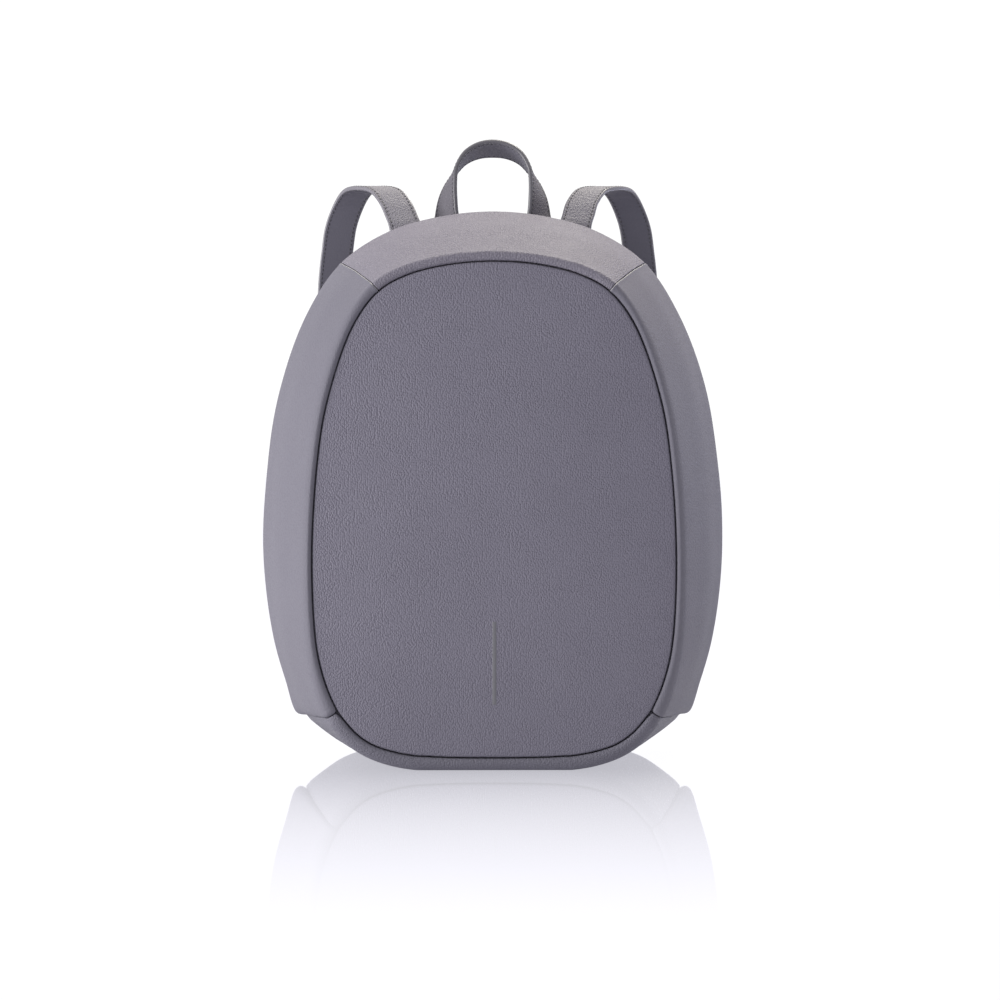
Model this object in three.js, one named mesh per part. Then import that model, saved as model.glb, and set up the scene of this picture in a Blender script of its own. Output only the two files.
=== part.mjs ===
// An egg-shaped anti-theft backpack in synthetic leather, standing on its flat base.
// The body is hollow. A domed front panel sits in a padded rim, and four gusset walls flare from that
// rim to a wider back: one over the top, one down each side and one under the base. The back panel is
// joined to them by a zip, out of reach of anyone but the wearer. A carry handle and two shoulder
// straps are sewn flat to the back panel and rise in open loops behind the top edge.
// Millimetres, +Z up, +X to the right seen from the front, and the front faces -Y.
// The origin is the middle of the flat base.
import * as THREE from "three";

// Body: overall sizes
const BODY_WIDTH = 306; // across the widest line, which lies near the back
const BODY_HEIGHT = 358.5; // from the base to the top of that line
const BODY_DEPTH = 116; // at the base, from the rim's crest to the face of the back panel
const SIDE_FLARE = 32; // how far each side spreads from the front rim to the widest line
const TOP_FLARE = 31; // how far the top rises from the front rim to the widest line
const FRONT_LEAN = 16; // how far the front leans back between the base and the top

// Body: walls, rims and panels
const WALL = 3; // padded gusset wall
const WALL_BULGE = 3.5; // how far a gusset wall stands proud of a straight line, front to back
const BULGE_FROM = 90; // height from which the walls have their whole bulge
const RIM_WIDTH = 7; // padded rim between the front seam and the gusset wall
const GROOVE_DEPTH = 5.5; // from the rim's crest down to the flange that the front panel lies on
const SHOULDER_DEPTH = 4; // from the rim's crest back to where the gusset wall starts
const GROOVE_WIDTH = 0.9; // dark line between the front panel and the rim
const FLANGE = 8; // how far the flange reaches in under the front panel
const PANEL_DOME = 6; // how far the front panel's middle stands proud of its edge
const PANEL_THICKNESS = 4; // leather, foam and board of the front panel
const BACK_THICKNESS = 5; // leather, foam and board of the back panel
const BACK_RIM = 11; // width of the walls' turned edge on the back face
const BACK_RIM_DEPTH = 9; // from the widest line back to that turned edge
const BACK_PROUD = 2; // how far the back panel stands proud of the turned edge

// Clearances
const GAP = 0.3; // between pieces that are sewn or laid together

// Zip round the back panel
const ZIP_WIDTH = 9; // tape that shows between the turned edge and the back panel
const ZIP_TAPE = 1.2; // thickness of the tape
const ZIP_COIL_WIDTH = 4;
const ZIP_COIL_HEIGHT = 1.4; // how far the coil stands above the tape
const ZIP_RECESS = 2.6; // how far the tape's face lies in front of the turned edge
const SLIDER = { width: 8, height: 11, depth: 2.6 };
const PULL = { width: 7, length: 24, depth: 1.6 };
const SLIDER_SHARE = 0.1; // how far along the closed zip its slider stops

// Straps and carry handle
const STRAP_WIDTH = 22;
const STRAP_THICKNESS = 3;
const HANDLE_WIDTH = 22;
const HANDLE_THICKNESS = 3;
const LOOP_REACH = 63; // how far a shoulder strap stands out behind the back panel
const LOOP_RISE = 20; // how far a shoulder strap rises above the body
const LOOP_SWAY = 3; // how far both straps hang over to the left
const HANDLE_RISE = 45; // how far the carry handle rises above the body
const HANDLE_SPAN = 62; // between the middles of the handle's legs where they pass the top edge
const HANDLE_LEAN = 20; // how far the top of the handle leans back

// Reflective strip let into the front panel
const STRIP = { width: 2.4, length: 52, thickness: 0.5, bottom: 42 };

// Mesh steps
const STEPS_PER_STATION = 2;
const STRAP_STEPS = 3; // between two rows of a strap's table

// Outline stations of the right half, from the middle of the base round to the middle of the top.
// rimOut and rimUp: the front rim's outer edge, as shares of its half width and height.
// rim: the rim's width there, as a share of RIM_WIDTH.
// backOut and backUp: the widest line, as shares of the body's half width and height.
// inset: how far the back face is set in there, as a share of BACK_RIM.
// seam: where one gusset ends and the next begins.
const OUTLINE = [
  { rimOut: 0.0, rimUp: 0.0, rim: 1.1, backOut: 0.0, backUp: 0.0, inset: 1.0 }, // middle of the base
  { rimOut: 0.235, rimUp: 0.0, rim: 1.14, backOut: 0.222, backUp: 0.0, inset: 1.0 },
  { rimOut: 0.4, rimUp: 0.0, rim: 1.26, backOut: 0.405, backUp: 0.0, inset: 1.0 },
  { rimOut: 0.545, rimUp: 0.0095, rim: 1.26, backOut: 0.55, backUp: 0.0, inset: 1.0 },
  { rimOut: 0.672, rimUp: 0.0275, rim: 1.2, backOut: 0.65, backUp: 0.0135, inset: 1.0 },
  { rimOut: 0.774, rimUp: 0.0545, rim: 1.2, backOut: 0.738, backUp: 0.038, inset: 1.0 },
  { rimOut: 0.873, rimUp: 0.0985, rim: 1.22, backOut: 0.8235, backUp: 0.067, inset: 0.95, seam: "lower" },
  { rimOut: 0.893, rimUp: 0.1125, rim: 1.2, backOut: 0.8595, backUp: 0.0715, inset: 1.3 }, // turned end
  { rimOut: 0.936, rimUp: 0.157, rim: 1.08, backOut: 0.905, backUp: 0.1285, inset: 1.0 },
  { rimOut: 0.978, rimUp: 0.231, rim: 0.95, backOut: 0.957, backUp: 0.211, inset: 1.0 },
  { rimOut: 1.0, rimUp: 0.376, rim: 0.9, backOut: 1.0, backUp: 0.365, inset: 1.0 }, // widest
  { rimOut: 0.979, rimUp: 0.57, rim: 0.9, backOut: 0.981, backUp: 0.53, inset: 1.0 },
  { rimOut: 0.92, rimUp: 0.717, rim: 0.92, backOut: 0.926, backUp: 0.672, inset: 1.0 },
  { rimOut: 0.783, rimUp: 0.865, rim: 0.96, backOut: 0.812, backUp: 0.807, inset: 1.0 },
  { rimOut: 0.64, rimUp: 0.937, rim: 1.0, backOut: 0.66, backUp: 0.9045, inset: 1.0, seam: "upper" },
  { rimOut: 0.477, rimUp: 0.9715, rim: 1.0, backOut: 0.457, backUp: 0.962, inset: 1.0 },
  { rimOut: 0.25, rimUp: 0.993, rim: 1.0, backOut: 0.235, backUp: 0.99, inset: 1.0 },
  { rimOut: 0.0, rimUp: 1.0, rim: 1.0, backOut: 0.0, backUp: 1.0, inset: 1.0 }, // middle of the top
];
const LOWER_SEAM = OUTLINE.findIndex((row) => row.seam === "lower");
const UPPER_SEAM = OUTLINE.findIndex((row) => row.seam === "upper");
const TOP = OUTLINE.length - 1;
const FULL_TURN = 2 * TOP;

// Right shoulder strap, from its upper end round to its lower end.
// out: share of the body's half width. behind: share of LOOP_REACH, from the back panel.
// up: height as a share of BODY_HEIGHT. rise: share of LOOP_RISE added to that height.
// sway: share of LOOP_SWAY. roll: degrees that the strap's outer edge is raised.
const SHOULDER_STRAP = [
  { out: 0.366, behind: 0.0, up: 0.86, rise: 0.0, sway: 0.0, roll: 0 },
  { out: 0.367, behind: 0.0, up: 0.92, rise: 0.0, sway: 0.2, roll: 0 },
  { out: 0.371, behind: 0.02, up: 0.973, rise: 0.0, sway: 0.6, roll: 0 },
  { out: 0.389, behind: 0.083, up: 0.997, rise: 0.0, sway: 0.7, roll: 0 },
  { out: 0.41, behind: 0.162, up: 1.0, rise: 0.365, sway: 0.9, roll: 0 },
  { out: 0.454, behind: 0.305, up: 1.0, rise: 0.81, sway: 1.0, roll: 0 },
  { out: 0.52, behind: 0.511, up: 1.0, rise: 0.975, sway: 1.0, roll: 0 },
  { out: 0.5725, behind: 0.7, up: 1.0, rise: 0.96, sway: 1.0, roll: 0 },
  { out: 0.6, behind: 0.797, up: 1.0, rise: 0.81, sway: 1.0, roll: 0 },
  { out: 0.6325, behind: 0.892, up: 1.0, rise: 0.41, sway: 1.0, roll: 0 },
  { out: 0.665, behind: 0.94, up: 0.9855, rise: 0.0, sway: 1.0, roll: 0 },
  { out: 0.682, behind: 0.971, up: 0.9395, rise: 0.0, sway: 1.0, roll: 0 },
  { out: 0.697, behind: 0.995, up: 0.8815, rise: 0.0, sway: 1.0, roll: 0 },
  { out: 0.712, behind: 1.0, up: 0.7, rise: 0.0, sway: 0.9, roll: 0 },
  { out: 0.715, behind: 0.93, up: 0.5, rise: 0.0, sway: 0.7, roll: 0 },
  { out: 0.7, behind: 0.73, up: 0.33, rise: 0.0, sway: 0.4, roll: 0 },
  { out: 0.675, behind: 0.38, up: 0.24, rise: 0.0, sway: 0.2, roll: 0 },
  { out: 0.655, behind: 0.07, up: 0.208, rise: 0.0, sway: 0.0, roll: 0 },
  { out: 0.645, behind: 0.0, up: 0.183, rise: 0.0, sway: 0.0, roll: 0 },
  { out: 0.635, behind: 0.0, up: 0.14, rise: 0.0, sway: 0.0, roll: 0 },
];

// Left half of the carry handle, from its sewn end up to the middle.
// out: share of half of HANDLE_SPAN. lean: share of HANDLE_LEAN. up: height as a share of BODY_HEIGHT.
// rise: share of HANDLE_RISE added to that height. turn: degrees from the strap lying flat on the
// back panel to its rear edge pointing straight back. drop: degrees that its rear edge hangs down.
const HANDLE = [
  { out: 0.92, lean: 0.0, up: 0.86, rise: 0.0, turn: 0, drop: 0 },
  { out: 0.93, lean: 0.0, up: 0.925, rise: 0.0, turn: 4, drop: 0 },
  { out: 0.97, lean: 0.2, up: 0.962, rise: 0.0, turn: 24, drop: 0 },
  { out: 1.0, lean: 0.34, up: 1.0, rise: 0.0, turn: 47, drop: 1 },
  { out: 0.98, lean: 0.46, up: 1.0, rise: 0.24, turn: 58, drop: 2 },
  { out: 0.92, lean: 0.6, up: 1.0, rise: 0.46, turn: 71, drop: 5 },
  { out: 0.81, lean: 0.74, up: 1.0, rise: 0.66, turn: 85, drop: 10 },
  { out: 0.6, lean: 0.88, up: 1.0, rise: 0.86, turn: 90, drop: 16 },
  { out: 0.31, lean: 0.97, up: 1.0, rise: 0.97, turn: 90, drop: 21 },
  { out: 0.0, lean: 1.0, up: 1.0, rise: 1.0, turn: 90, drop: 23 },
];

// Depths worked out from the sizes above
const FRONT_HALF_WIDTH = BODY_WIDTH / 2 - SIDE_FLARE;
const FRONT_HEIGHT = BODY_HEIGHT - TOP_FLARE;
const CREST_Y = -BODY_DEPTH / 2;
const BACK_FACE_Y = BODY_DEPTH / 2;
const BACK_RIM_Y = BACK_FACE_Y - BACK_PROUD;
const WIDEST_Y = BACK_RIM_Y - BACK_RIM_DEPTH;
const ZIP_FACE_Y = BACK_RIM_Y - ZIP_RECESS;
const BODY_CENTRE = new THREE.Vector2(0, 0.42 * BODY_HEIGHT); // where the outlines' insets aim

// Materials
const LEATHER_GREY = 0x77737f;
const pebbledLeather = new THREE.MeshStandardMaterial({ color: LEATHER_GREY, roughness: 0.6, metalness: 0 });
const smoothLeather = new THREE.MeshStandardMaterial({ color: 0x827e8a, roughness: 0.5, metalness: 0 });
const backFabric = new THREE.MeshStandardMaterial({ color: 0x4f4d57, roughness: 0.85, metalness: 0 });
const zipPlastic = new THREE.MeshStandardMaterial({ color: 0x3a3942, roughness: 0.55, metalness: 0 });
const pullMetal = new THREE.MeshStandardMaterial({ color: 0x5b5a60, roughness: 0.35, metalness: 0.8 });
const reflectiveFilm = new THREE.MeshStandardMaterial({ color: 0x86837f, roughness: 0.4, metalness: 0.1 });

// Outline rows of the whole turn: the right half, then its mirror image back down the left.
function wholeTurn(read) {
  const right = OUTLINE.map((row) => read(row));
  const left = right
    .slice(1, -1)
    .reverse()
    .map((p) => new THREE.Vector3(-p.x, p.y, p.z));
  return [...right, ...left];
}

// Each curve is read by station number, so its rows line up with those of the others.
const RIM_CURVE = new THREE.CatmullRomCurve3(
  wholeTurn((row) => new THREE.Vector3(row.rimOut * FRONT_HALF_WIDTH, row.rimUp * FRONT_HEIGHT, row.rim * RIM_WIDTH)),
  true,
  "centripetal",
);
const BACK_ROWS = wholeTurn(
  (row) => new THREE.Vector3((row.backOut * BODY_WIDTH) / 2, row.backUp * BODY_HEIGHT, row.inset * BACK_RIM),
);
// The base and the arch over it are two curves, because the outline has a notch at the lower seams.
const BASE_CURVE = new THREE.CatmullRomCurve3(
  [...BACK_ROWS.slice(FULL_TURN - LOWER_SEAM), ...BACK_ROWS.slice(0, LOWER_SEAM + 1)],
  false,
  "centripetal",
);
const ARCH_CURVE = new THREE.CatmullRomCurve3(
  BACK_ROWS.slice(LOWER_SEAM, FULL_TURN - LOWER_SEAM + 1),
  false,
  "centripetal",
);

// The outline at station t: the rim's edge s, its outward normal n, the seam f and the widest line b,
// all in the XZ plane, and the distance by which the back face is set in.
function outlineAt(t) {
  const turn = (((t % FULL_TURN) + FULL_TURN) % FULL_TURN) / FULL_TURN;
  const onRim = RIM_CURVE.getPoint(turn);
  const tangent = RIM_CURVE.getTangent(turn);
  const n = new THREE.Vector2(tangent.y, -tangent.x).normalize();
  const s = new THREE.Vector2(onRim.x, Math.max(onRim.y, 0));
  const f = s.clone().addScaledVector(n, -onRim.z);
  const station = turn * FULL_TURN;
  const signed = station > FULL_TURN / 2 ? station - FULL_TURN : station;
  const onBase = Math.abs(signed) <= LOWER_SEAM;
  const onBack = onBase
    ? BASE_CURVE.getPoint((signed + LOWER_SEAM) / (2 * LOWER_SEAM))
    : ARCH_CURVE.getPoint((station - LOWER_SEAM) / (FULL_TURN - 2 * LOWER_SEAM));
  const b = new THREE.Vector2(onBack.x, Math.max(onBack.y, 0));
  return { s, n, f, b, rimWidth: onRim.z, inset: onBack.z };
}

// Depth of the rim's crest at a height: upright at the base, leaning back towards the top.
function crestY(height) {
  return CREST_Y + FRONT_LEAN * (height / FRONT_HEIGHT) ** 2;
}

// A point of the XZ plane moved towards the body's centre.
function towardsCentre(point, distance) {
  const inward = BODY_CENTRE.clone().sub(point).normalize();
  return point.clone().addScaledVector(inward, distance);
}

function at(planar, y) {
  return new THREE.Vector3(planar.x, y, planar.y);
}

// A closed body from rows of points. Each row is a closed loop with the same number of points.
// Open ends are filled with the triangles of `cap`, and a single point closes an end to a tip.
function loftedBody(rows, { closed = false, cap = null, tips = null } = {}) {
  const count = rows[0].length;
  const positions = rows.flat().flatMap((p) => [p.x, p.y, p.z]);
  const faces = [];
  const last = closed ? rows.length : rows.length - 1;
  for (let i = 0; i < last; i++) {
    const here = i * count;
    const next = ((i + 1) % rows.length) * count;
    for (let j = 0; j < count; j++) {
      const k = (j + 1) % count;
      faces.push([here + j, next + j, next + k], [here + j, next + k, here + k]);
    }
  }
  const end = (rows.length - 1) * count;
  if (tips) {
    const first = rows.length * count;
    positions.push(...tips[0].toArray(), ...tips[1].toArray());
    for (let j = 0; j < count; j++) {
      const k = (j + 1) % count;
      faces.push([first, j, k], [first + 1, end + k, end + j]);
    }
  } else if (!closed) {
    for (const [a, b, c] of cap) {
      faces.push([a, b, c], [end + a, end + c, end + b]);
    }
  }
  const geometry = new THREE.BufferGeometry();
  geometry.setAttribute("position", new THREE.Float32BufferAttribute(positions, 3));
  geometry.setIndex(faceOutwards(positions, faces).flat());
  geometry.computeVertexNormals();
  return geometry;
}

// Turns every face round if the body they enclose would be inside out.
function faceOutwards(positions, faces) {
  const point = (i) => new THREE.Vector3().fromArray(positions, 3 * i);
  let volume = 0;
  for (const [a, b, c] of faces) {
    volume += point(a).dot(point(b).cross(point(c)));
  }
  return volume < 0 ? faces.map(([a, b, c]) => [a, c, b]) : faces;
}

// Triangles that fill a loop of points in a plane, wound the same way as the loop.
function loopTriangles(loop) {
  const triangles = THREE.ShapeUtils.triangulateShape(loop, []);
  return THREE.ShapeUtils.isClockWise(loop) ? triangles.map(([a, b, c]) => [a, c, b]) : triangles;
}

// Outer face of the padded rim at station t, from the flange under the front panel to the shoulder.
function rimFace(t) {
  const { s, n, f, rimWidth } = outlineAt(t);
  const y = crestY(s.y);
  const fromSeam = (distance) => f.clone().addScaledVector(n, distance);
  return [
    at(fromSeam(-FLANGE), y + GROOVE_DEPTH),
    at(fromSeam(0.3), y + GROOVE_DEPTH),
    at(fromSeam(0.6), y + 2.2),
    at(fromSeam(1.6), y + 0.5),
    at(fromSeam(rimWidth / 2), y),
    at(fromSeam(rimWidth - 1.6), y + 0.5),
    at(fromSeam(rimWidth - 0.4), y + 1.9),
  ];
}

// Outer face of the wall at station t, from the shoulder back to the lip that `lip` mm of turned edge
// ends in on the back face.
const WALL_SHARES = [0, 0.2, 0.4, 0.6, 0.8, 1];
function wallFace(t, lip) {
  const { s, n, b } = outlineAt(t);
  const shoulderY = crestY(s.y) + SHOULDER_DEPTH;
  const face = WALL_SHARES.map((share) => {
    const bulge = bulgeAt(s.y) * 4 * share * (1 - share);
    const planar = s.clone().lerp(b, share).addScaledVector(n, bulge);
    planar.y = Math.max(planar.y, 0);
    return at(planar, THREE.MathUtils.lerp(shoulderY, WIDEST_Y, share));
  });
  return [
    ...face,
    at(towardsCentre(b, 0.12 * BACK_RIM), WIDEST_Y + 0.5 * BACK_RIM_DEPTH),
    at(towardsCentre(b, 0.42 * BACK_RIM), WIDEST_Y + 0.86 * BACK_RIM_DEPTH),
    at(towardsCentre(b, lip), BACK_RIM_Y),
  ];
}

// The walls bulge less towards the base, which lies flat.
function bulgeAt(height) {
  return WALL_BULGE * Math.min(height / BULGE_FROM, 1);
}

// One closed loop of a gusset at station t: its outer face, then its inner face back again.
function gussetLoop(t, lipAt) {
  const step = 0.02;
  const lip = lipAt(t);
  const rim = rimFace(t);
  const wall = wallFace(t, lip);
  const before = wallFace(t - step, lip);
  const after = wallFace(t + step, lip);
  const { n, f, rimWidth } = outlineAt(t);
  const outward = new THREE.Vector3(n.x, 0, n.y);
  const inner = wall.slice(1, -1).map((point, i) => {
    const along = after[i + 1].clone().sub(before[i + 1]);
    const across = wall[i + 2].clone().sub(wall[i]);
    const normal = along.cross(across).normalize();
    if (normal.dot(outward) < 0) normal.negate();
    return point.clone().addScaledVector(normal, -WALL);
  });
  const y = rim[0].y + WALL - 0.5;
  const rimInside = f.clone().addScaledVector(n, Math.max(rimWidth - WALL - 0.5, 0.5));
  const lipPoint = wall.at(-1).clone();
  lipPoint.y -= WALL;
  return [
    ...rim,
    ...wall,
    lipPoint,
    ...inner.reverse(),
    at(rimInside, y + 0.5),
    at(f.clone().addScaledVector(n, -FLANGE), y),
  ];
}

// A gusset between two seams. Its ends stop half a gap short of them.
function gusset(from, to, lipAt) {
  const near = outlineAt(from).s.distanceTo(outlineAt(from + 0.1).s) * 10;
  const far = outlineAt(to).s.distanceTo(outlineAt(to - 0.1).s) * 10;
  const start = from + (0.5 * GAP) / near;
  const end = to - (0.5 * GAP) / far;
  const steps = Math.round((to - from) * STEPS_PER_STATION);
  const rows = [];
  for (let i = 0; i <= steps; i++) {
    rows.push(gussetLoop(THREE.MathUtils.lerp(start, end, i / steps), lipAt));
  }
  // The end faces are filled in a plane of distance from the body's centre against depth.
  const flat = (loop) =>
    loop.map((p) => new THREE.Vector2(new THREE.Vector2(p.x, p.z).sub(BODY_CENTRE).length(), p.y));
  return loftedBody(rows, { cap: loopTriangles(flat(rows[0])) });
}

// Stations all round, for panels that fill the whole outline.
function stationsRound() {
  const count = FULL_TURN * STEPS_PER_STATION;
  return Array.from({ length: count }, (_, i) => (i * FULL_TURN) / count);
}

// Depth of the front panel's face at a height, with `share` of the way out from its centre.
function frontFaceY(height, share) {
  return crestY(height) + 1 - PANEL_DOME * (1 - share ** 2.4);
}

// The panel's edge rounds down into the groove over its last few millimetres.
const FRONT_RINGS = [
  { share: 1, sink: 1.8 },
  { share: 0.99, sink: 0.5 },
  { share: 0.965, sink: 0 },
  { share: 0.88, sink: 0 },
  { share: 0.7, sink: 0 },
  { share: 0.4, sink: 0 },
];

function frontPanelGeometry() {
  const edge = stationsRound().map((t) => {
    const { f, n } = outlineAt(t);
    return f.clone().addScaledVector(n, -GROOVE_WIDTH);
  });
  const ring = (share, depth) =>
    edge.map((p) => {
      const planar = BODY_CENTRE.clone().lerp(p, share);
      return at(planar, depth(planar.y));
    });
  const outer = FRONT_RINGS.map(({ share, sink }) => ring(share, (z) => frontFaceY(z, share) + sink));
  const inner = FRONT_RINGS.slice(1).map(({ share }) => ring(share, (z) => frontFaceY(z, share) + PANEL_THICKNESS));
  const seat = ring(1, (z) => crestY(z) + GROOVE_DEPTH - GAP);
  const middle = (extra) => at(BODY_CENTRE, frontFaceY(BODY_CENTRE.y, 0) + extra);
  const rows = [...outer.reverse(), seat, ...inner];
  return loftedBody(rows, { tips: [middle(0), middle(PANEL_THICKNESS)] });
}

const ZIP_OUTER = GAP; // from the turned edge to the tape
const PANEL_INSET = ZIP_WIDTH + 2 * GAP; // from the turned edge to the back panel

function backPanelGeometry() {
  const edge = stationsRound().map((t) => {
    const { b, inset } = outlineAt(t);
    return towardsCentre(b, inset + PANEL_INSET);
  });
  const ring = (share, y) => edge.map((p) => at(BODY_CENTRE.clone().lerp(p, share), y));
  const rows = [
    ring(0.975, BACK_FACE_Y),
    ring(0.993, BACK_FACE_Y - 0.8),
    ring(1, BACK_FACE_Y - 2.2),
    ring(1, BACK_FACE_Y - BACK_THICKNESS),
  ];
  const tips = [at(BODY_CENTRE, BACK_FACE_Y), at(BODY_CENTRE, BACK_FACE_Y - BACK_THICKNESS)];
  return loftedBody(rows, { tips });
}

// The closed zip: two tapes and their coil as one band, from one lower seam over the top to the other.
function zipGeometry() {
  const half = ZIP_WIDTH / 2;
  const coil = ZIP_COIL_WIDTH / 2;
  const profile = [
    new THREE.Vector2(-half, 0),
    new THREE.Vector2(-coil, 0),
    new THREE.Vector2(-coil + 0.6, ZIP_COIL_HEIGHT),
    new THREE.Vector2(coil - 0.6, ZIP_COIL_HEIGHT),
    new THREE.Vector2(coil, 0),
    new THREE.Vector2(half, 0),
    new THREE.Vector2(half, -ZIP_TAPE),
    new THREE.Vector2(-half, -ZIP_TAPE),
  ];
  const steps = (FULL_TURN - 2 * LOWER_SEAM) * STEPS_PER_STATION;
  const margin = 0.05; // of a station, clear of the base wall's wide lip
  const rows = [];
  for (let i = 0; i <= steps; i++) {
    const t = THREE.MathUtils.lerp(LOWER_SEAM + margin, FULL_TURN - LOWER_SEAM - margin, i / steps);
    const { b, inset } = outlineAt(t);
    rows.push(
      profile.map((p) => at(towardsCentre(b, inset + ZIP_OUTER + half + p.x), ZIP_FACE_Y + p.y)),
    );
  }
  return loftedBody(rows, { cap: loopTriangles(profile) });
}

// The slider on the coil and the pull that hangs from it, as one plain piece.
function zipPullGeometry() {
  const station = THREE.MathUtils.lerp(LOWER_SEAM, FULL_TURN - LOWER_SEAM, SLIDER_SHARE);
  const { b, inset } = outlineAt(station);
  const below = outlineAt(station - 0.3);
  const middle = towardsCentre(b, inset + ZIP_OUTER + ZIP_WIDTH / 2);
  const lower = towardsCentre(below.b, below.inset + ZIP_OUTER + ZIP_WIDTH / 2);
  const down = lower.sub(middle).normalize();
  const side = new THREE.Vector2(-down.y, down.x);
  const sliderY = ZIP_FACE_Y + ZIP_COIL_HEIGHT + GAP;
  const row = (along, halfWidth, low, high) =>
    [
      [-halfWidth, low],
      [halfWidth, low],
      [halfWidth, high],
      [-halfWidth, high],
    ].map(([x, y]) => at(middle.clone().addScaledVector(down, along).addScaledVector(side, x), sliderY + y));
  const rows = [
    row(-SLIDER.height / 2, SLIDER.width * 0.32, 0, SLIDER.depth * 0.7),
    row(-SLIDER.height / 4, SLIDER.width / 2, 0, SLIDER.depth),
    row(SLIDER.height / 4, SLIDER.width / 2, 0, SLIDER.depth),
    row(SLIDER.height / 2, SLIDER.width * 0.4, SLIDER.depth - PULL.depth, SLIDER.depth),
    row(SLIDER.height / 2 + 2, PULL.width * 0.3, SLIDER.depth - PULL.depth, SLIDER.depth),
    row(SLIDER.height / 2 + 4, PULL.width / 2, SLIDER.depth - PULL.depth, SLIDER.depth),
    row(SLIDER.height / 2 + PULL.length, PULL.width / 2, SLIDER.depth - PULL.depth, SLIDER.depth),
    row(SLIDER.height / 2 + PULL.length + 2, PULL.width * 0.3, SLIDER.depth - PULL.depth, SLIDER.depth),
  ];
  const square = [new THREE.Vector2(0, 0), new THREE.Vector2(1, 0), new THREE.Vector2(1, 1), new THREE.Vector2(0, 1)];
  return loftedBody(rows, { cap: loopTriangles(square) });
}

// The reflective strip, laid on the front panel's dome.
function stripGeometry() {
  const steps = 8;
  const rows = [];
  for (let i = 0; i <= steps; i++) {
    const z = STRIP.bottom + (STRIP.length * i) / steps;
    const { f, n } = outlineAt(0);
    const bottom = f.y - n.y * GROOVE_WIDTH;
    const share = (BODY_CENTRE.y - z) / (BODY_CENTRE.y - bottom);
    const y = frontFaceY(z, share) - GAP;
    const half = STRIP.width / 2;
    rows.push([
      new THREE.Vector3(-half, y, z),
      new THREE.Vector3(half, y, z),
      new THREE.Vector3(half, y - STRIP.thickness, z),
      new THREE.Vector3(-half, y - STRIP.thickness, z),
    ]);
  }
  const square = [new THREE.Vector2(0, 0), new THREE.Vector2(1, 0), new THREE.Vector2(1, 1), new THREE.Vector2(0, 1)];
  return loftedBody(rows, { cap: loopTriangles(square) });
}

// A strap of rounded rectangular section, swept through rows that hold its middle and the direction
// of its width.
function strapGeometry(rows, width, thickness) {
  const path = new THREE.CatmullRomCurve3(rows.map((row) => row.middle), false, "centripetal");
  const widths = new THREE.CatmullRomCurve3(rows.map((row) => row.across), false, "centripetal");
  const bevel = thickness * 0.3;
  const w = width / 2;
  const h = thickness / 2;
  const section = [
    [-w + bevel, -h],
    [w - bevel, -h],
    [w, -h + bevel],
    [w, h - bevel],
    [w - bevel, h],
    [-w + bevel, h],
    [-w, h - bevel],
    [-w, -h + bevel],
  ].map(([x, y]) => new THREE.Vector2(x, y));
  const steps = (rows.length - 1) * STRAP_STEPS;
  const middles = [];
  for (let i = 0; i <= steps; i++) {
    const middle = path.getPoint(i / steps);
    middle.y = Math.max(middle.y, SEWN_Y + h);
    middles.push(middle);
  }
  const loops = [];
  for (let i = 0; i <= steps; i++) {
    const middle = middles[i];
    const along = middles[Math.min(i + 1, steps)].clone().sub(middles[Math.max(i - 1, 0)]).normalize();
    const across = blendedWidth(rows, i / STRAP_STEPS, widths, i / steps);
    const up = along.clone().cross(across).normalize();
    loops.push(section.map((p) => middle.clone().addScaledVector(across, p.x).addScaledVector(up, p.y)));
  }
  return loftedBody(loops, { cap: loopTriangles(section) });
}

// The first and last stretches are sewn flat, so their width direction doesn't sway with the curve.
function blendedWidth(rows, place, widths, share) {
  const isEnd = place <= 1 || place >= rows.length - 2;
  if (!isEnd) return widths.getPoint(share);
  const i = Math.min(Math.floor(place), rows.length - 2);
  return rows[i].across.clone().lerp(rows[i + 1].across, place - i);
}

const SEWN_Y = BACK_FACE_Y + GAP; // face that the sewn ends lie on

function shoulderStrapGeometry(side) {
  const rows = SHOULDER_STRAP.map((row) => {
    const roll = THREE.MathUtils.degToRad(row.roll);
    return {
      middle: new THREE.Vector3(
        (side * row.out * BODY_WIDTH) / 2 - row.sway * LOOP_SWAY,
        SEWN_Y + STRAP_THICKNESS / 2 + row.behind * LOOP_REACH,
        row.up * BODY_HEIGHT + row.rise * LOOP_RISE,
      ),
      across: new THREE.Vector3(side * Math.cos(roll), 0, Math.sin(roll)),
    };
  });
  return strapGeometry(rows, STRAP_WIDTH, STRAP_THICKNESS);
}

function handleGeometry() {
  const half = (side) =>
    HANDLE.map((row) => {
      const turn = THREE.MathUtils.degToRad(row.turn);
      const drop = THREE.MathUtils.degToRad(row.drop);
      const rearReach = (HANDLE_WIDTH / 2) * Math.sin(turn) * Math.cos(drop);
      return {
        middle: new THREE.Vector3(
          (side * row.out * HANDLE_SPAN) / 2,
          SEWN_Y + HANDLE_THICKNESS / 2 + Math.max(row.lean * HANDLE_LEAN, rearReach),
          row.up * BODY_HEIGHT + row.rise * HANDLE_RISE,
        ),
        across: new THREE.Vector3(
          side * Math.cos(turn) * Math.cos(drop),
          Math.sin(turn) * Math.cos(drop),
          -Math.sin(drop),
        ),
      };
    });
  const rows = [...half(-1), ...half(1).slice(0, -1).reverse()];
  return strapGeometry(rows, HANDLE_WIDTH, HANDLE_THICKNESS);
}

function piece(name, geometry, material) {
  const mesh = new THREE.Mesh(geometry, material);
  mesh.name = name;
  return mesh;
}

// The turned edge is wider under the base, where there is no zip.
const narrowLip = (t) => outlineAt(t).inset;
const wideLip = (t) => outlineAt(t).inset + PANEL_INSET - GAP;

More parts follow.
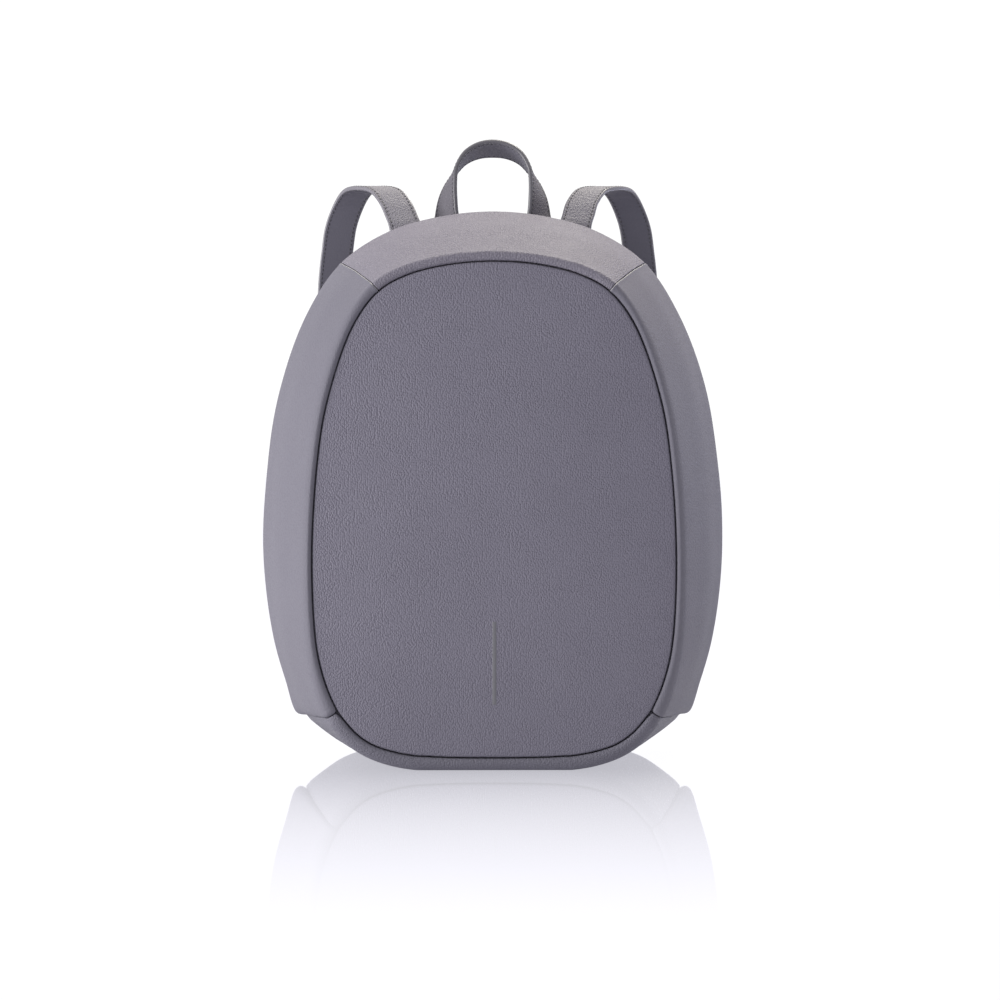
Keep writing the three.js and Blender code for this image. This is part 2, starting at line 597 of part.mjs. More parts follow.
const backpack = new THREE.Group();
backpack.add(
  piece("front_panel", frontPanelGeometry(), pebbledLeather),
  piece("reflective_strip", stripGeometry(), reflectiveFilm),
  piece("top_gusset", gusset(UPPER_SEAM, FULL_TURN - UPPER_SEAM, narrowLip), pebbledLeather),
  piece("right_gusset", gusset(LOWER_SEAM, UPPER_SEAM, narrowLip), smoothLeather),
  piece("left_gusset", gusset(FULL_TURN - UPPER_SEAM, FULL_TURN - LOWER_SEAM, narrowLip), smoothLeather),
  piece("base_gusset", gusset(-LOWER_SEAM, LOWER_SEAM, wideLip), pebbledLeather),
  piece("back_panel", backPanelGeometry(), backFabric),
  piece("zip", zipGeometry(), zipPlastic),
  piece("zip_pull", zipPullGeometry(), pullMetal),
  piece("carry_handle", handleGeometry(), pebbledLeather),
  piece("right_shoulder_strap", shoulderStrapGeometry(1), pebbledLeather),
  piece("left_shoulder_strap", shoulderStrapGeometry(-1), pebbledLeather),
);

export default backpack;
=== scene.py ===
import math

import bpy
import numpy as np
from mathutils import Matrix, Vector, noise


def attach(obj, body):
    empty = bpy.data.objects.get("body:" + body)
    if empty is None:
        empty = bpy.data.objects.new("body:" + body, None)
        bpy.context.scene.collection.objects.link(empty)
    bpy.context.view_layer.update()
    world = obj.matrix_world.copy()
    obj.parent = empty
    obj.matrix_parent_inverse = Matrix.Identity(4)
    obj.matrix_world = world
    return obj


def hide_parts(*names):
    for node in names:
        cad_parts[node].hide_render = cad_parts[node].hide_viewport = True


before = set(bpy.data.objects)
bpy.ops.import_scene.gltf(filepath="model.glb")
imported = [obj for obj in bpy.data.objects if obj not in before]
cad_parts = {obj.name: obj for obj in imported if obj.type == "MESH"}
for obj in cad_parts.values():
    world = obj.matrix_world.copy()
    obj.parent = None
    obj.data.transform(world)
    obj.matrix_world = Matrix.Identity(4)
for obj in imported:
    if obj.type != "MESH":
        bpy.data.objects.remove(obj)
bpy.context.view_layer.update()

MM = 0.001

# Body, as in the CAD source
BODY_WIDTH = 306
BODY_HEIGHT = 358.5
BODY_DEPTH = 116
SIDE_FLARE = 32
TOP_FLARE = 31
FRONT_LEAN = 16
WALL = 3
WALL_BULGE = 3.5
BULGE_FROM = 90
RIM_WIDTH = 7
SHOULDER_DEPTH = 4
GROOVE_DEPTH = 5.5
GROOVE_WIDTH = 0.9  # CAD clearance between the rim and the front panel
GROOVE_LINE = 0.75  # what shows of it between the two rolled edges
FLANGE = 8
PANEL_DOME = 6
PANEL_THICKNESS = 4
BACK_THICKNESS = 5
BACK_RIM = 11
BACK_RIM_DEPTH = 9
BACK_PROUD = 2
GAP = 0.3

# Zip round the back panel
ZIP_WIDTH = 9
ZIP_TAPE = 1.2
ZIP_COIL_WIDTH = 4
ZIP_COIL_HEIGHT = 1.4
ZIP_RECESS = 2.6
TOOTH_PITCH = 1.6
SLIDER_SHARE = 0.1

# Straps and carry handle
STRAP_WIDTH = 22
STRAP_THICKNESS = 3
HANDLE_WIDTH = 22
HANDLE_THICKNESS = 3
LOOP_REACH = 63
LOOP_RISE = 20
LOOP_SWAY = 3
HANDLE_RISE = 45
HANDLE_SPAN = 62
HANDLE_LEAN = 20

# Reflective strip
STRIP_WIDTH = 2.4
STRIP_LENGTH = 52
STRIP_BOTTOM = 42
STRIP_PROUD = 0.12  # let into the leather, nearly flush
STRIP_SUNK = 0.2

# Stitching
STITCH_PITCH = 2.9
STITCH_LENGTH = 2.0
STITCH_RADIUS = 0.4
STITCH_FLATNESS = 1.15  # a thread under tension is a little wider than it is high
STITCH_DIVE = 0.5  # how far its ends go down into their holes, as a share of the radius
STITCH_INSET = 2.3  # from a strap's edge to its row of stitches
STITCH_BOX = 12  # length of the stitched box at a strap's sewn end

# Outline stations of the right half, from the middle of the base to the middle of the top:
# rim edge out and up, rim width, widest line out and up, inset of the back face, all as shares
OUTLINE = [
    (0.0, 0.0, 1.1, 0.0, 0.0, 1.0),
    (0.235, 0.0, 1.14, 0.222, 0.0, 1.0),
    (0.4, 0.0, 1.26, 0.405, 0.0, 1.0),
    (0.545, 0.0095, 1.26, 0.55, 0.0, 1.0),
    (0.672, 0.0275, 1.2, 0.65, 0.0135, 1.0),
    (0.774, 0.0545, 1.2, 0.738, 0.038, 1.0),
    (0.873, 0.0985, 1.22, 0.8235, 0.067, 0.95),
    (0.893, 0.1125, 1.2, 0.8595, 0.0715, 1.3),
    (0.936, 0.157, 1.08, 0.905, 0.1285, 1.0),
    (0.978, 0.231, 0.95, 0.957, 0.211, 1.0),
    (1.0, 0.376, 0.9, 1.0, 0.365, 1.0),
    (0.979, 0.57, 0.9, 0.981, 0.53, 1.0),
    (0.92, 0.717, 0.92, 0.926, 0.672, 1.0),
    (0.783, 0.865, 0.96, 0.812, 0.807, 1.0),
    (0.64, 0.937, 1.0, 0.66, 0.9045, 1.0),
    (0.477, 0.9715, 1.0, 0.457, 0.962, 1.0),
    (0.25, 0.993, 1.0, 0.235, 0.99, 1.0),
    (0.0, 1.0, 1.0, 0.0, 1.0, 1.0),
]
LOWER_SEAM = 6
UPPER_SEAM = 14
FULL_TURN = 2 * (len(OUTLINE) - 1)

# Shoulder strap rows: out, behind, up, rise, sway, as shares of the sizes above
SHOULDER_STRAP = [
    (0.366, 0.0, 0.86, 0.0, 0.0),
    (0.367, 0.0, 0.92, 0.0, 0.2),
    (0.371, 0.02, 0.973, 0.0, 0.6),
    (0.389, 0.083, 0.997, 0.0, 0.7),
    (0.41, 0.162, 1.0, 0.365, 0.9),
    (0.454, 0.305, 1.0, 0.81, 1.0),
    (0.52, 0.511, 1.0, 0.975, 1.0),
    (0.5725, 0.7, 1.0, 0.96, 1.0),
    (0.6, 0.797, 1.0, 0.81, 1.0),
    (0.6325, 0.892, 1.0, 0.41, 1.0),
    (0.665, 0.94, 0.9855, 0.0, 1.0),
    (0.682, 0.971, 0.9395, 0.0, 1.0),
    (0.697, 0.995, 0.8815, 0.0, 1.0),
    (0.712, 1.0, 0.7, 0.0, 0.9),
    (0.715, 0.93, 0.5, 0.0, 0.7),
    (0.7, 0.73, 0.33, 0.0, 0.4),
    (0.675, 0.38, 0.24, 0.0, 0.2),
    (0.655, 0.07, 0.208, 0.0, 0.0),
    (0.645, 0.0, 0.183, 0.0, 0.0),
    (0.635, 0.0, 0.14, 0.0, 0.0),
]

# Left half of the carry handle: out, lean, up, rise, then turn and drop in degrees
HANDLE = [
    (0.92, 0.0, 0.86, 0.0, 0, 0),
    (0.93, 0.0, 0.925, 0.0, 4, 0),
    (0.97, 0.2, 0.962, 0.0, 24, 0),
    (1.0, 0.34, 1.0, 0.0, 47, 1),
    (0.98, 0.46, 1.0, 0.24, 58, 2),
    (0.92, 0.6, 1.0, 0.46, 71, 5),
    (0.81, 0.74, 1.0, 0.66, 85, 10),
    (0.6, 0.88, 1.0, 0.86, 90, 16),
    (0.31, 0.97, 1.0, 0.97, 90, 21),
    (0.0, 1.0, 1.0, 1.0, 90, 23),
]

FRONT_HALF_WIDTH = BODY_WIDTH / 2 - SIDE_FLARE
FRONT_HEIGHT = BODY_HEIGHT - TOP_FLARE
CREST_Y = -BODY_DEPTH / 2
BACK_FACE_Y = BODY_DEPTH / 2
BACK_RIM_Y = BACK_FACE_Y - BACK_PROUD
WIDEST_Y = BACK_RIM_Y - BACK_RIM_DEPTH
ZIP_FACE_Y = BACK_RIM_Y - ZIP_RECESS
SEWN_Y = BACK_FACE_Y + GAP
PANEL_INSET = ZIP_WIDTH + 2 * GAP
BODY_CENTRE = np.array([0, 0.42 * BODY_HEIGHT])


# Curves and outlines
def catmull_rom(rows, places, closed=False):
    """A centripetal curve through rows of points, read at row numbers."""
    rows = np.asarray(rows, float)
    places = np.asarray(places, float)
    count = len(rows)
    if closed:
        padded = np.vstack([rows[-1], rows, rows[0], rows[1]])
        last = count
    else:
        padded = np.vstack([2 * rows[0] - rows[1], rows, 2 * rows[-1] - rows[-2]])
        last = count - 1
    start = np.clip(np.floor(places), 0, last - 1).astype(int)
    w = (places - start)[:, None]
    p0, p1, p2, p3 = (padded[start + k] for k in range(4))
    d0, d1, d2 = (
        np.sqrt(np.linalg.norm(b - a, axis=1))[:, None]
        for a, b in ((p0, p1), (p1, p2), (p2, p3))
    )
    d0, d1, d2 = (np.maximum(d, 1e-6) for d in (d0, d1, d2))
    t1 = d1 * ((p1 - p0) / d0 - (p2 - p0) / (d0 + d1) + (p2 - p1) / d1)
    t2 = d1 * ((p2 - p1) / d1 - (p3 - p1) / (d1 + d2) + (p3 - p2) / d2)
    c2 = -3 * p1 + 3 * p2 - 2 * t1 - t2
    c3 = 2 * p1 - 2 * p2 + t1 + t2
    return p1 + t1 * w + c2 * w**2 + c3 * w**3


def whole_turn(rows):
    """The right half's rows, then their mirror images back down the left."""
    right = np.asarray(rows, float)
    left = right[1:-1][::-1].copy()
    left[:, 0] *= -1
    return np.vstack([right, left])


RIM_ROWS = whole_turn(
    [(r[0] * FRONT_HALF_WIDTH, r[1] * FRONT_HEIGHT, r[2] * RIM_WIDTH) for r in OUTLINE]
)
BACK_ROWS = whole_turn(
    [(r[3] * BODY_WIDTH / 2, r[4] * BODY_HEIGHT, r[5] * BACK_RIM) for r in OUTLINE]
)
BASE_ROWS = np.vstack([BACK_ROWS[-LOWER_SEAM:], BACK_ROWS[: LOWER_SEAM + 1]])
ARCH_ROWS = BACK_ROWS[LOWER_SEAM : FULL_TURN - LOWER_SEAM + 1]


class Outline:
    """The outline at some stations, in the XZ plane: the rim's outer edge with its outward normal and
    its width, the front panel's seam, the widest line, and how far the back face is set in."""

    def __init__(self, stations):
        ring = np.mod(np.asarray(stations, float), FULL_TURN)
        on_rim = catmull_rom(RIM_ROWS, ring, closed=True)
        step = 1e-3
        ahead = catmull_rom(RIM_ROWS, np.mod(ring + step, FULL_TURN), closed=True)
        behind = catmull_rom(RIM_ROWS, np.mod(ring - step, FULL_TURN), closed=True)
        tangent = (ahead - behind)[:, :2]
        normal = np.stack([tangent[:, 1], -tangent[:, 0]], 1)
        self.outward = normal / np.linalg.norm(normal, axis=1)[:, None]
        self.rim_width = on_rim[:, 2]
        self.rim_edge = on_rim[:, :2].copy()
        self.rim_edge[:, 1] = np.maximum(self.rim_edge[:, 1], 0)
        self.seam = self.rim_edge - self.outward * self.rim_width[:, None]
        signed = np.where(ring > FULL_TURN / 2, ring - FULL_TURN, ring)
        base = catmull_rom(BASE_ROWS, np.clip(signed + LOWER_SEAM, 0, 2 * LOWER_SEAM))
        arch = catmull_rom(ARCH_ROWS, np.clip(ring - LOWER_SEAM, 0, FULL_TURN - 2 * LOWER_SEAM))
        back = np.where((np.abs(signed) <= LOWER_SEAM)[:, None], base, arch)
        self.widest = back[:, :2].copy()
        self.widest[:, 1] = np.maximum(self.widest[:, 1], 0)
        self.inset = back[:, 2]


def crest_y(height):
    """Depth of the rim's crest: upright at the base, leaning back towards the top."""
    return CREST_Y + FRONT_LEAN * (height / FRONT_HEIGHT) ** 2


def towards_centre(points, distance):
    inward = BODY_CENTRE - points
    inward /= np.linalg.norm(inward, axis=1)[:, None]
    return points + inward * np.reshape(distance, (-1, 1))


def at(planar, y):
    """Points of the XZ plane placed at a depth."""
    planar = np.asarray(planar, float)
    return np.stack([planar[:, 0], np.broadcast_to(y, len(planar)), planar[:, 1]], 1)


def smoothstep(x):
    x = np.clip(x, 0, 1)
    return x * x * (3 - 2 * x)


# Meshes
def mesh_object(name, points, faces, materials, face_materials=None, sharp=50):
    """A smooth-shaded object from points in millimetres. Edges sharper than `sharp` degrees stay sharp."""
    mesh = bpy.data.meshes.new(name)
    mesh.from_pydata((np.asarray(points) * MM).tolist(), [], faces)
    for material in materials:
        mesh.materials.append(material)
    if face_materials is not None:
        mesh.polygons.foreach_set("material_index", np.asarray(face_materials, np.int32))
    mesh.validate()
    mesh.shade_smooth()
    mesh.set_sharp_from_angle(angle=math.radians(sharp))
    piece = bpy.data.objects.new(name, mesh)
    bpy.context.scene.collection.objects.link(piece)
    return piece


def signed_volume(points, faces):
    total = 0.0
    for face in faces:
        a = points[face[0]]
        for i in range(1, len(face) - 1):
            total += np.dot(a, np.cross(points[face[i]], points[face[i + 1]]))
    return total


def loft(name, rows, materials, cap=None, tips=None, columns=None, bands=None, sharp=50):
    """A closed body through rows of points, each a closed loop. `cap` fills the ends: "strip" joins each
    loop's first half to its second, and "face" is one face. `tips` closes each end to a point.
    `columns` holds each column's material number, and `bands` each row's, where that is given."""
    rows = np.asarray(rows, float)
    count, width = rows.shape[:2]
    points = rows.reshape(-1, 3)
    faces = []
    numbers = []
    columns = np.zeros(width, int) if columns is None else columns
    for i in range(count - 1):
        for j in range(width):
            k = (j + 1) % width
            faces.append((i * width + j, (i + 1) * width + j, (i + 1) * width + k, i * width + k))
            numbers.append(columns[j] if bands is None else bands[i])
    end = (count - 1) * width
    if tips is not None:
        first = len(points)
        points = np.vstack([points, tips])
        for j in range(width):
            k = (j + 1) % width
            faces.append((first, j, k))
            faces.append((first + 1, end + k, end + j))
            numbers += [columns[0], columns[0]]
    elif cap == "strip":
        for j in range(width // 2 - 1):
            m = width - 1 - j
            faces.append((j, j + 1, m - 1, m))
            faces.append((end + m, end + m - 1, end + j + 1, end + j))
            numbers += [0, 0]
    else:
        faces.append(tuple(range(width)))
        faces.append(tuple(reversed(range(end, end + width))))
        numbers += [columns[0], columns[0]]
    if signed_volume(points, faces) < 0:
        faces = [face[::-1] for face in faces]
    return mesh_object(name, points, faces, materials, numbers, sharp)


def dress(piece, slot, *nodes):
    """Makes a piece part of the object: it rides on the body and stands for the CAD nodes named."""
    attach(piece, "root")
    if nodes:
        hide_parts(*nodes)
    return piece


def undulation(points, size, amount, seed):
    """Gentle unevenness of soft walls, in millimetres."""
    shift = Vector((seed, 3 * seed, 7 * seed))
    return np.array([amount * noise.noise(Vector(p) / size + shift) for p in points])


# Colours and materials
def linear(hex_colour):
    """A colour written as an sRGB hex string, as linear RGBA."""
    parts = [int(hex_colour[i : i + 2], 16) / 255 for i in (1, 3, 5)]
    return tuple(c / 12.92 if c <= 0.04045 else ((c + 0.055) / 1.055) ** 2.4 for c in parts) + (1.0,)


def add(tree, kind, inputs=None, **settings):
    """Adds a node, sets its properties, and fills its inputs with values or links."""
    node = tree.nodes.new(kind)
    for key, value in settings.items():
        setattr(node, key, value)
    for key, value in (inputs or {}).items():
        if isinstance(value, bpy.types.NodeSocket):
            tree.links.new(value, node.inputs[key])
        else:
            node.inputs[key].default_value = value
    return node


def new_material(name):
    material = bpy.data.materials.new(name)
    material.use_nodes = True
    tree = material.node_tree
    return material, tree, tree.nodes["Principled BSDF"]


def blend_colours(tree, factor, first, second):
    mix = add(tree, "ShaderNodeMix", {"Factor": factor}, data_type="RGBA")
    for socket, value in ((mix.inputs[6], first), (mix.inputs[7], second)):
        if isinstance(value, bpy.types.NodeSocket):
            tree.links.new(value, socket)
        else:
            socket.default_value = value
    return mix.outputs[2]


# Leather grain
WANDER_SCALE = 0.14  # the rows of pebbles bend about once in seven pebbles
WANDER_REACH = 1.6  # how far they bend, in pebbles
PEBBLE_RANDOMNESS = 0.75  # 1 is fully irregular
PATCH_SIZE = 14  # patches where the roller pressed less deep
TONE_SIZE = 70  # slow drift of the colour over a whole panel
CREASE_ROUGHNESS = 0.12  # what a crease has over a pebble


def leather(name, base, crease, cells, relief_mm, roughness, shade=0.1, gloss_level=0.18, flat=False):
    """Polyurethane leather: foam on knitted cloth, embossed by a roller and finished with a matt coat.
    The eye sees low rounded pebbles, modelled by the light that rakes across them, with creases between that
    are also darkened in colour as painted shade.
    `cells` is a pebble's size along each axis in millimetres, and `flat` lays the grain on the XZ plane,
    for a panel that faces the front."""
    material, tree, shader = new_material(name)
    place = add(tree, "ShaderNodeTexCoord").outputs["Object"]
    in_cells = add(
        tree,
        "ShaderNodeMapping",
        {
            "Vector": place,
            "Scale": [1 / (size * MM) for size in cells],
            "Rotation": (-math.pi / 2 if flat else 0, 0, 0),
        },
    )
    drift = add(
        tree,
        "ShaderNodeTexNoise",
        {"Vector": in_cells.outputs[0], "Scale": WANDER_SCALE, "Detail": 2.0},
    )
    moved = add(
        tree,
        "ShaderNodeVectorMath",
        {0: drift.outputs["Color"], 1: [WANDER_REACH] * 3, 2: in_cells.outputs[0]},
        operation="MULTIPLY_ADD",
    )
    voronoi = add(
        tree,
        "ShaderNodeTexVoronoi",
        {"Vector": moved.outputs["Vector"], "Scale": 1.0, "Randomness": PEBBLE_RANDOMNESS},
        voronoi_dimensions="2D" if flat else "3D",
    )
    squared = add(tree, "ShaderNodeMath", {0: voronoi.outputs["Distance"], 1: 2.0}, operation="POWER")
    pebble = add(
        tree,
        "ShaderNodeMapRange",
        {"Value": squared.outputs[0], "From Max": 0.5, "To Min": 1.0, "To Max": 0.0},
    )
    patchy = add(
        tree,
        "ShaderNodeTexNoise",
        {"Vector": place, "Scale": 1 / (PATCH_SIZE * MM), "Detail": 1.0},
    )
    depth = add(
        tree,
        "ShaderNodeMapRange",
        {"Value": patchy.outputs["Fac"], "From Min": 0.35, "From Max": 0.65, "To Min": 0.75, "To Max": 1.0},
    )
    height = add(
        tree,
        "ShaderNodeMath",
        {0: pebble.outputs["Result"], 1: depth.outputs["Result"]},
        operation="MULTIPLY",
    )
    bump = add(
        tree,
        "ShaderNodeBump",
        {"Height": height.outputs[0], "Strength": 1.0, "Distance": relief_mm * MM},
    )
    broad = add(
        tree,
        "ShaderNodeTexNoise",
        {"Vector": place, "Scale": 1 / (TONE_SIZE * MM), "Detail": 2.0},
    )
    tone = add(
        tree,
        "ShaderNodeMapRange",
        {"Value": broad.outputs["Fac"], "From Min": 0.3, "From Max": 0.7, "To Min": 0.0, "To Max": 0.1},
    )
    # Painted shade: the creases between pebbles are darkened in colour towards the crease colour, by up to
    # `shade`
    shadow = add(
        tree,
        "ShaderNodeMapRange",
        {"Value": pebble.outputs["Result"], "From Max": 0.7, "To Min": shade, "To Max": 0.0},
    )
    darkness = add(
        tree, "ShaderNodeMath", {0: tone.outputs["Result"], 1: shadow.outputs["Result"]}, operation="ADD"
    )
    colour = blend_colours(tree, darkness.outputs[0], linear(base), linear(crease))
    gloss = add(
        tree,
        "ShaderNodeMapRange",
        {
            "Value": pebble.outputs["Result"],
            "To Min": roughness + CREASE_ROUGHNESS,
            "To Max": roughness,
        },
    )
    tree.links.new(colour, shader.inputs["Base Color"])
    tree.links.new(gloss.outputs["Result"], shader.inputs["Roughness"])
    tree.links.new(bump.outputs["Normal"], shader.inputs["Normal"])
    shader.inputs["IOR"].default_value = 1.46
    shader.inputs["Specular IOR Level"].default_value = gloss_level
    return material


def painted_edge(name, colour):
    """Leather edge sealed with two coats of edge paint and buffed: a smooth, slightly glossy rounded rim."""
    material, tree, shader = new_material(name)
    place = add(tree, "ShaderNodeTexCoord").outputs["Object"]
    lumps = add(tree, "ShaderNodeTexNoise", {"Vector": place, "Scale": 1 / (2.5 * MM), "Detail": 2.0})
    bump = add(tree, "ShaderNodeBump", {"Height": lumps.outputs["Fac"], "Distance": 0.06 * MM})
    tree.links.new(bump.outputs["Normal"], shader.inputs["Normal"])
    shader.inputs["Base Color"].default_value = linear(colour)
    shader.inputs["Roughness"].default_value = 0.42
    shader.inputs["IOR"].default_value = 1.5
    return material


def thread(name, colour):
    """Bonded polyester thread, twisted from three plies: fine diagonal ridges with a dull shine.
    A wave texture has three bands for each unit of its scale, so the plies lie 0.4 mm apart."""
    material, tree, shader = new_material(name)
    place = add(tree, "ShaderNodeTexCoord").outputs["Object"]
    plies = add(
        tree,
        "ShaderNodeTexWave",
        {"Vector": place, "Scale": 1 / (1.2 * MM)},
        bands_direction="DIAGONAL",
    )
    bump = add(tree, "ShaderNodeBump", {"Height": plies.outputs["Fac"], "Distance": 0.08 * MM})
    tree.links.new(bump.outputs["Normal"], shader.inputs["Normal"])
    shader.inputs["Base Color"].default_value = linear(colour)
    shader.inputs["Roughness"].default_value = 0.6
    shader.inputs["Sheen Weight"].default_value = 0.15
    return material


def spacer_mesh(name, yarn, hole_shade):
    """Warp-knitted spacer mesh: matt polyester yarn round rows of small holes, darkened in colour as painted
    shade.
    The holes are drawn at 3 mm, as coarse as the real knit."""
    material, tree, shader = new_material(name)
    place = add(tree, "ShaderNodeTexCoord").outputs["Object"]
    flat = add(tree, "ShaderNodeMapping", {"Vector": place, "Scale": (1.0, 0.0, 0.8)})
    cells = add(
        tree,
        "ShaderNodeTexVoronoi",
        {"Vector": flat.outputs["Vector"], "Scale": 1 / (3 * MM), "Randomness": 0.12},
        feature="DISTANCE_TO_EDGE",
    )
    open_part = add(
        tree,
        "ShaderNodeMapRange",
        {"Value": cells.outputs["Distance"], "From Min": 0.14, "From Max": 0.34},
        interpolation_type="SMOOTHSTEP",
    )
    fibres = add(tree, "ShaderNodeTexNoise", {"Vector": place, "Scale": 1 / (0.5 * MM), "Detail": 2.0})
    relief = add(
        tree,
        "ShaderNodeMath",
        {0: open_part.outputs["Result"], 1: -1.0, 2: fibres.outputs["Fac"]},
        operation="MULTIPLY_ADD",
    )
    bump = add(tree, "ShaderNodeBump", {"Height": relief.outputs[0], "Distance": 0.5 * MM})
    # Painted shade: the inside of each hole takes the dark hole colour
    colour = blend_colours(tree, open_part.outputs["Result"], linear(yarn), linear(hole_shade))
    tree.links.new(colour, shader.inputs["Base Color"])
    tree.links.new(bump.outputs["Normal"], shader.inputs["Normal"])
    shader.inputs["Roughness"].default_value = 0.85
    shader.inputs["Sheen Weight"].default_value = 0.2
    return material


def woven_tape(name, colour, gap_shade_colour):
    """Woven polyester zip tape: fine ribs along the weave, matt, with the lines between them darkened in
    colour as painted shade.
    The ribs are drawn 1.1 mm apart, twice as coarse as the real ones, so that they show."""
    material, tree, shader = new_material(name)
    place = add(tree, "ShaderNodeTexCoord").outputs["Object"]
    warp = add(tree, "ShaderNodeTexWave", {"Vector": place, "Scale": 1 / (3.4 * MM)}, bands_direction="Z")
    weft = add(tree, "ShaderNodeTexWave", {"Vector": place, "Scale": 1 / (3.4 * MM)}, bands_direction="X")
    weave = add(
        tree,
        "ShaderNodeMath",
        {0: warp.outputs["Fac"], 1: weft.outputs["Fac"]},
        operation="MULTIPLY",
    )
    bump = add(tree, "ShaderNodeBump", {"Height": weave.outputs[0], "Distance": 0.12 * MM})
    # Painted shade: the grooves between the ribs take the darker gap colour
    colour = blend_colours(tree, weave.outputs[0], linear(gap_shade_colour), linear(colour))
    tree.links.new(colour, shader.inputs["Base Color"])
    tree.links.new(bump.outputs["Normal"], shader.inputs["Normal"])
    shader.inputs["Roughness"].default_value = 0.8
    return material


def nylon(name, colour):
    """Coiled nylon monofilament of a zip: dyed through, smooth, with small sharp highlights."""
    material, tree, shader = new_material(name)
    place = add(tree, "ShaderNodeTexCoord").outputs["Object"]
    wear = add(tree, "ShaderNodeTexNoise", {"Vector": place, "Scale": 1 / (4 * MM), "Detail": 3.0})
    gloss = add(tree, "ShaderNodeMapRange", {"Value": wear.outputs["Fac"], "To Min": 0.3, "To Max": 0.5})
    tree.links.new(gloss.outputs["Result"], shader.inputs["Roughness"])
    shader.inputs["Base Color"].default_value = linear(colour)
    shader.inputs["IOR"].default_value = 1.53
    return material


def gunmetal(name, colour):
    """Die-cast zinc, plated gunmetal grey and tumbled: a soft metal shine with faint scuffs."""
    material, tree, shader = new_material(name)
    place = add(tree, "ShaderNodeTexCoord").outputs["Object"]
    scuffs = add(tree, "ShaderNodeTexNoise", {"Vector": place, "Scale": 1 / (3 * MM), "Detail": 6.0})
    gloss = add(tree, "ShaderNodeMapRange", {"Value": scuffs.outputs["Fac"], "To Min": 0.22, "To Max": 0.45})
    tree.links.new(gloss.outputs["Result"], shader.inputs["Roughness"])
    shader.inputs["Base Color"].default_value = linear(colour)
    shader.inputs["Metallic"].default_value = 0.9
    return material


def reflective_film(name, colour):
    """Retroreflective film: glass beads bonded in a grey resin, flat grey with a fine speckle by day.
    The beads are drawn at 0.25 mm, coarser than the real 0.05 mm, so that the speckle shows."""
    material, tree, shader = new_material(name)
    place = add(tree, "ShaderNodeTexCoord").outputs["Object"]
    beads = add(tree, "ShaderNodeTexVoronoi", {"Vector": place, "Scale": 1 / (0.25 * MM)})
    bump = add(tree, "ShaderNodeBump", {"Height": beads.outputs["Distance"], "Distance": 0.03 * MM})
    tree.links.new(bump.outputs["Normal"], shader.inputs["Normal"])
    shader.inputs["Base Color"].default_value = linear(colour)
    shader.inputs["Roughness"].default_value = 0.35
    shader.inputs["Metallic"].default_value = 0.15
    return material


# Leathers: name, colour of the pebbles and of the painted shade in the creases, a pebble's size, relief,
# roughness
front_leather = leather(
    "pebbled_leather_front", "#6d6a77", "#4b4853", (1.2, 1.2, 1.5), 0.38, 0.5, flat=True
)
body_leather = leather(
    "pebbled_leather_body", "#74707b", "#54515e", (1.3, 1.3, 1.4), 0.42, 0.48, shade=0.22
)
base_leather = leather("pebbled_leather_base", "#64626d", "#4b4954", (1.2, 1.2, 1.3), 0.34, 0.5)
# Painted shade: a darker copy of the body leather for the side walls, standing in for the shade on the right
# wall
shaded_side_leather = leather(
    "smooth_leather_sides", "#686670", "#54525c", (1.4, 1.4, 1.6), 0.13, 0.52, gloss_level=0.05
)
strap_leather = leather("pebbled_leather_straps", "#7c7981", "#56545c", (1.2, 1.2, 1.25), 0.36, 0.46)
# Painted shade: a darker copy of the strap leather for the handle, standing in for the shade on it
shaded_handle_leather = leather("pebbled_leather_handle_shaded", "#5d5a62", "#434148", (1.2, 1.2, 1.25), 0.3, 0.5)
# Darker than the strap leather: partly the backing's own tone, partly painted shade for the undersides of
# the straps and handle
lining_and_underside_shade = leather("smooth_leather_strap_backing", "#595762", "#4b4953", (1.2, 1.2, 1.2), 0.025, 0.55)

# The other finishes: name, then colours
edge_paint = painted_edge("painted_strap_edge", "#65626b")
# Painted highlight: a light paint along the sides' upper seam edge, standing in for the light that edge
# catches
seam_highlight_paint = painted_edge("painted_seam_highlight", "#98969b")
# Painted shade: a darker copy of the strap edge paint for the handle's edges
shaded_handle_edge_paint = painted_edge("painted_handle_edge_shaded", "#55535a")
dark_thread = thread("polyester_thread", "#34323a")
back_mesh = spacer_mesh("spacer_mesh", "#5a5862", "#26252b")
zip_weave = woven_tape("zip_tape_weave", "#45434c", "#2c2b31")
coil_nylon = nylon("zip_coil_nylon", "#34333a")
slider_metal = gunmetal("plated_zinc", "#77757a")
strip_film = reflective_film("reflective_film", "#626167")


# Gussets
# Wall between the rim and the widest line: share of the way, share of the bulge
WALL_PROFILE = ((0, 0), (0.22, 0.55), (0.45, 1.0), (0.7, 0.65), (1, 0))
INSIDE_STEP = 6  # how much deeper the wall starts on the inside, behind the rim's padding

# Rim from the seam outwards: share of its width, millimetres past that, depth behind the crest,
# then what a soft outer edge adds to each of the three
RIM_OUTSIDE = (
    (0, -FLANGE, GROOVE_DEPTH, 0, 0, 0),
    (0, 0, GROOVE_DEPTH, 0, 0, 0),
    (0, 0.15, 1.5, 0, 0, 0),
    (0, 1.1, 0.35, 0, 0, 0),
    (0.5, 0, 0, -0.12, 0, 0),
    (1, -1.3, 0.55, 0, -1.1, 0.35),
    (1, -0.45, 2.0, 0, -0.6, 0.35),
)

# The rim's outer edge is crisp only along the top, where its normal points up by this much or more
CRISP_FROM = 0.3
CRISP_SPAN = 0.6

# Inside of the rim, the same way: share of its width, millimetres past that, depth
RIM_INSIDE = (
    (0, -FLANGE, 8),
    (0, 0.3, 8.1),
    (0, 0.7, 8.2),
    (0, 1.2, 8.3),
    (0.35, 0, 8.4),
    (0.5, 0, 8.6),
    (1, -WALL - 0.2, 9.2),
)

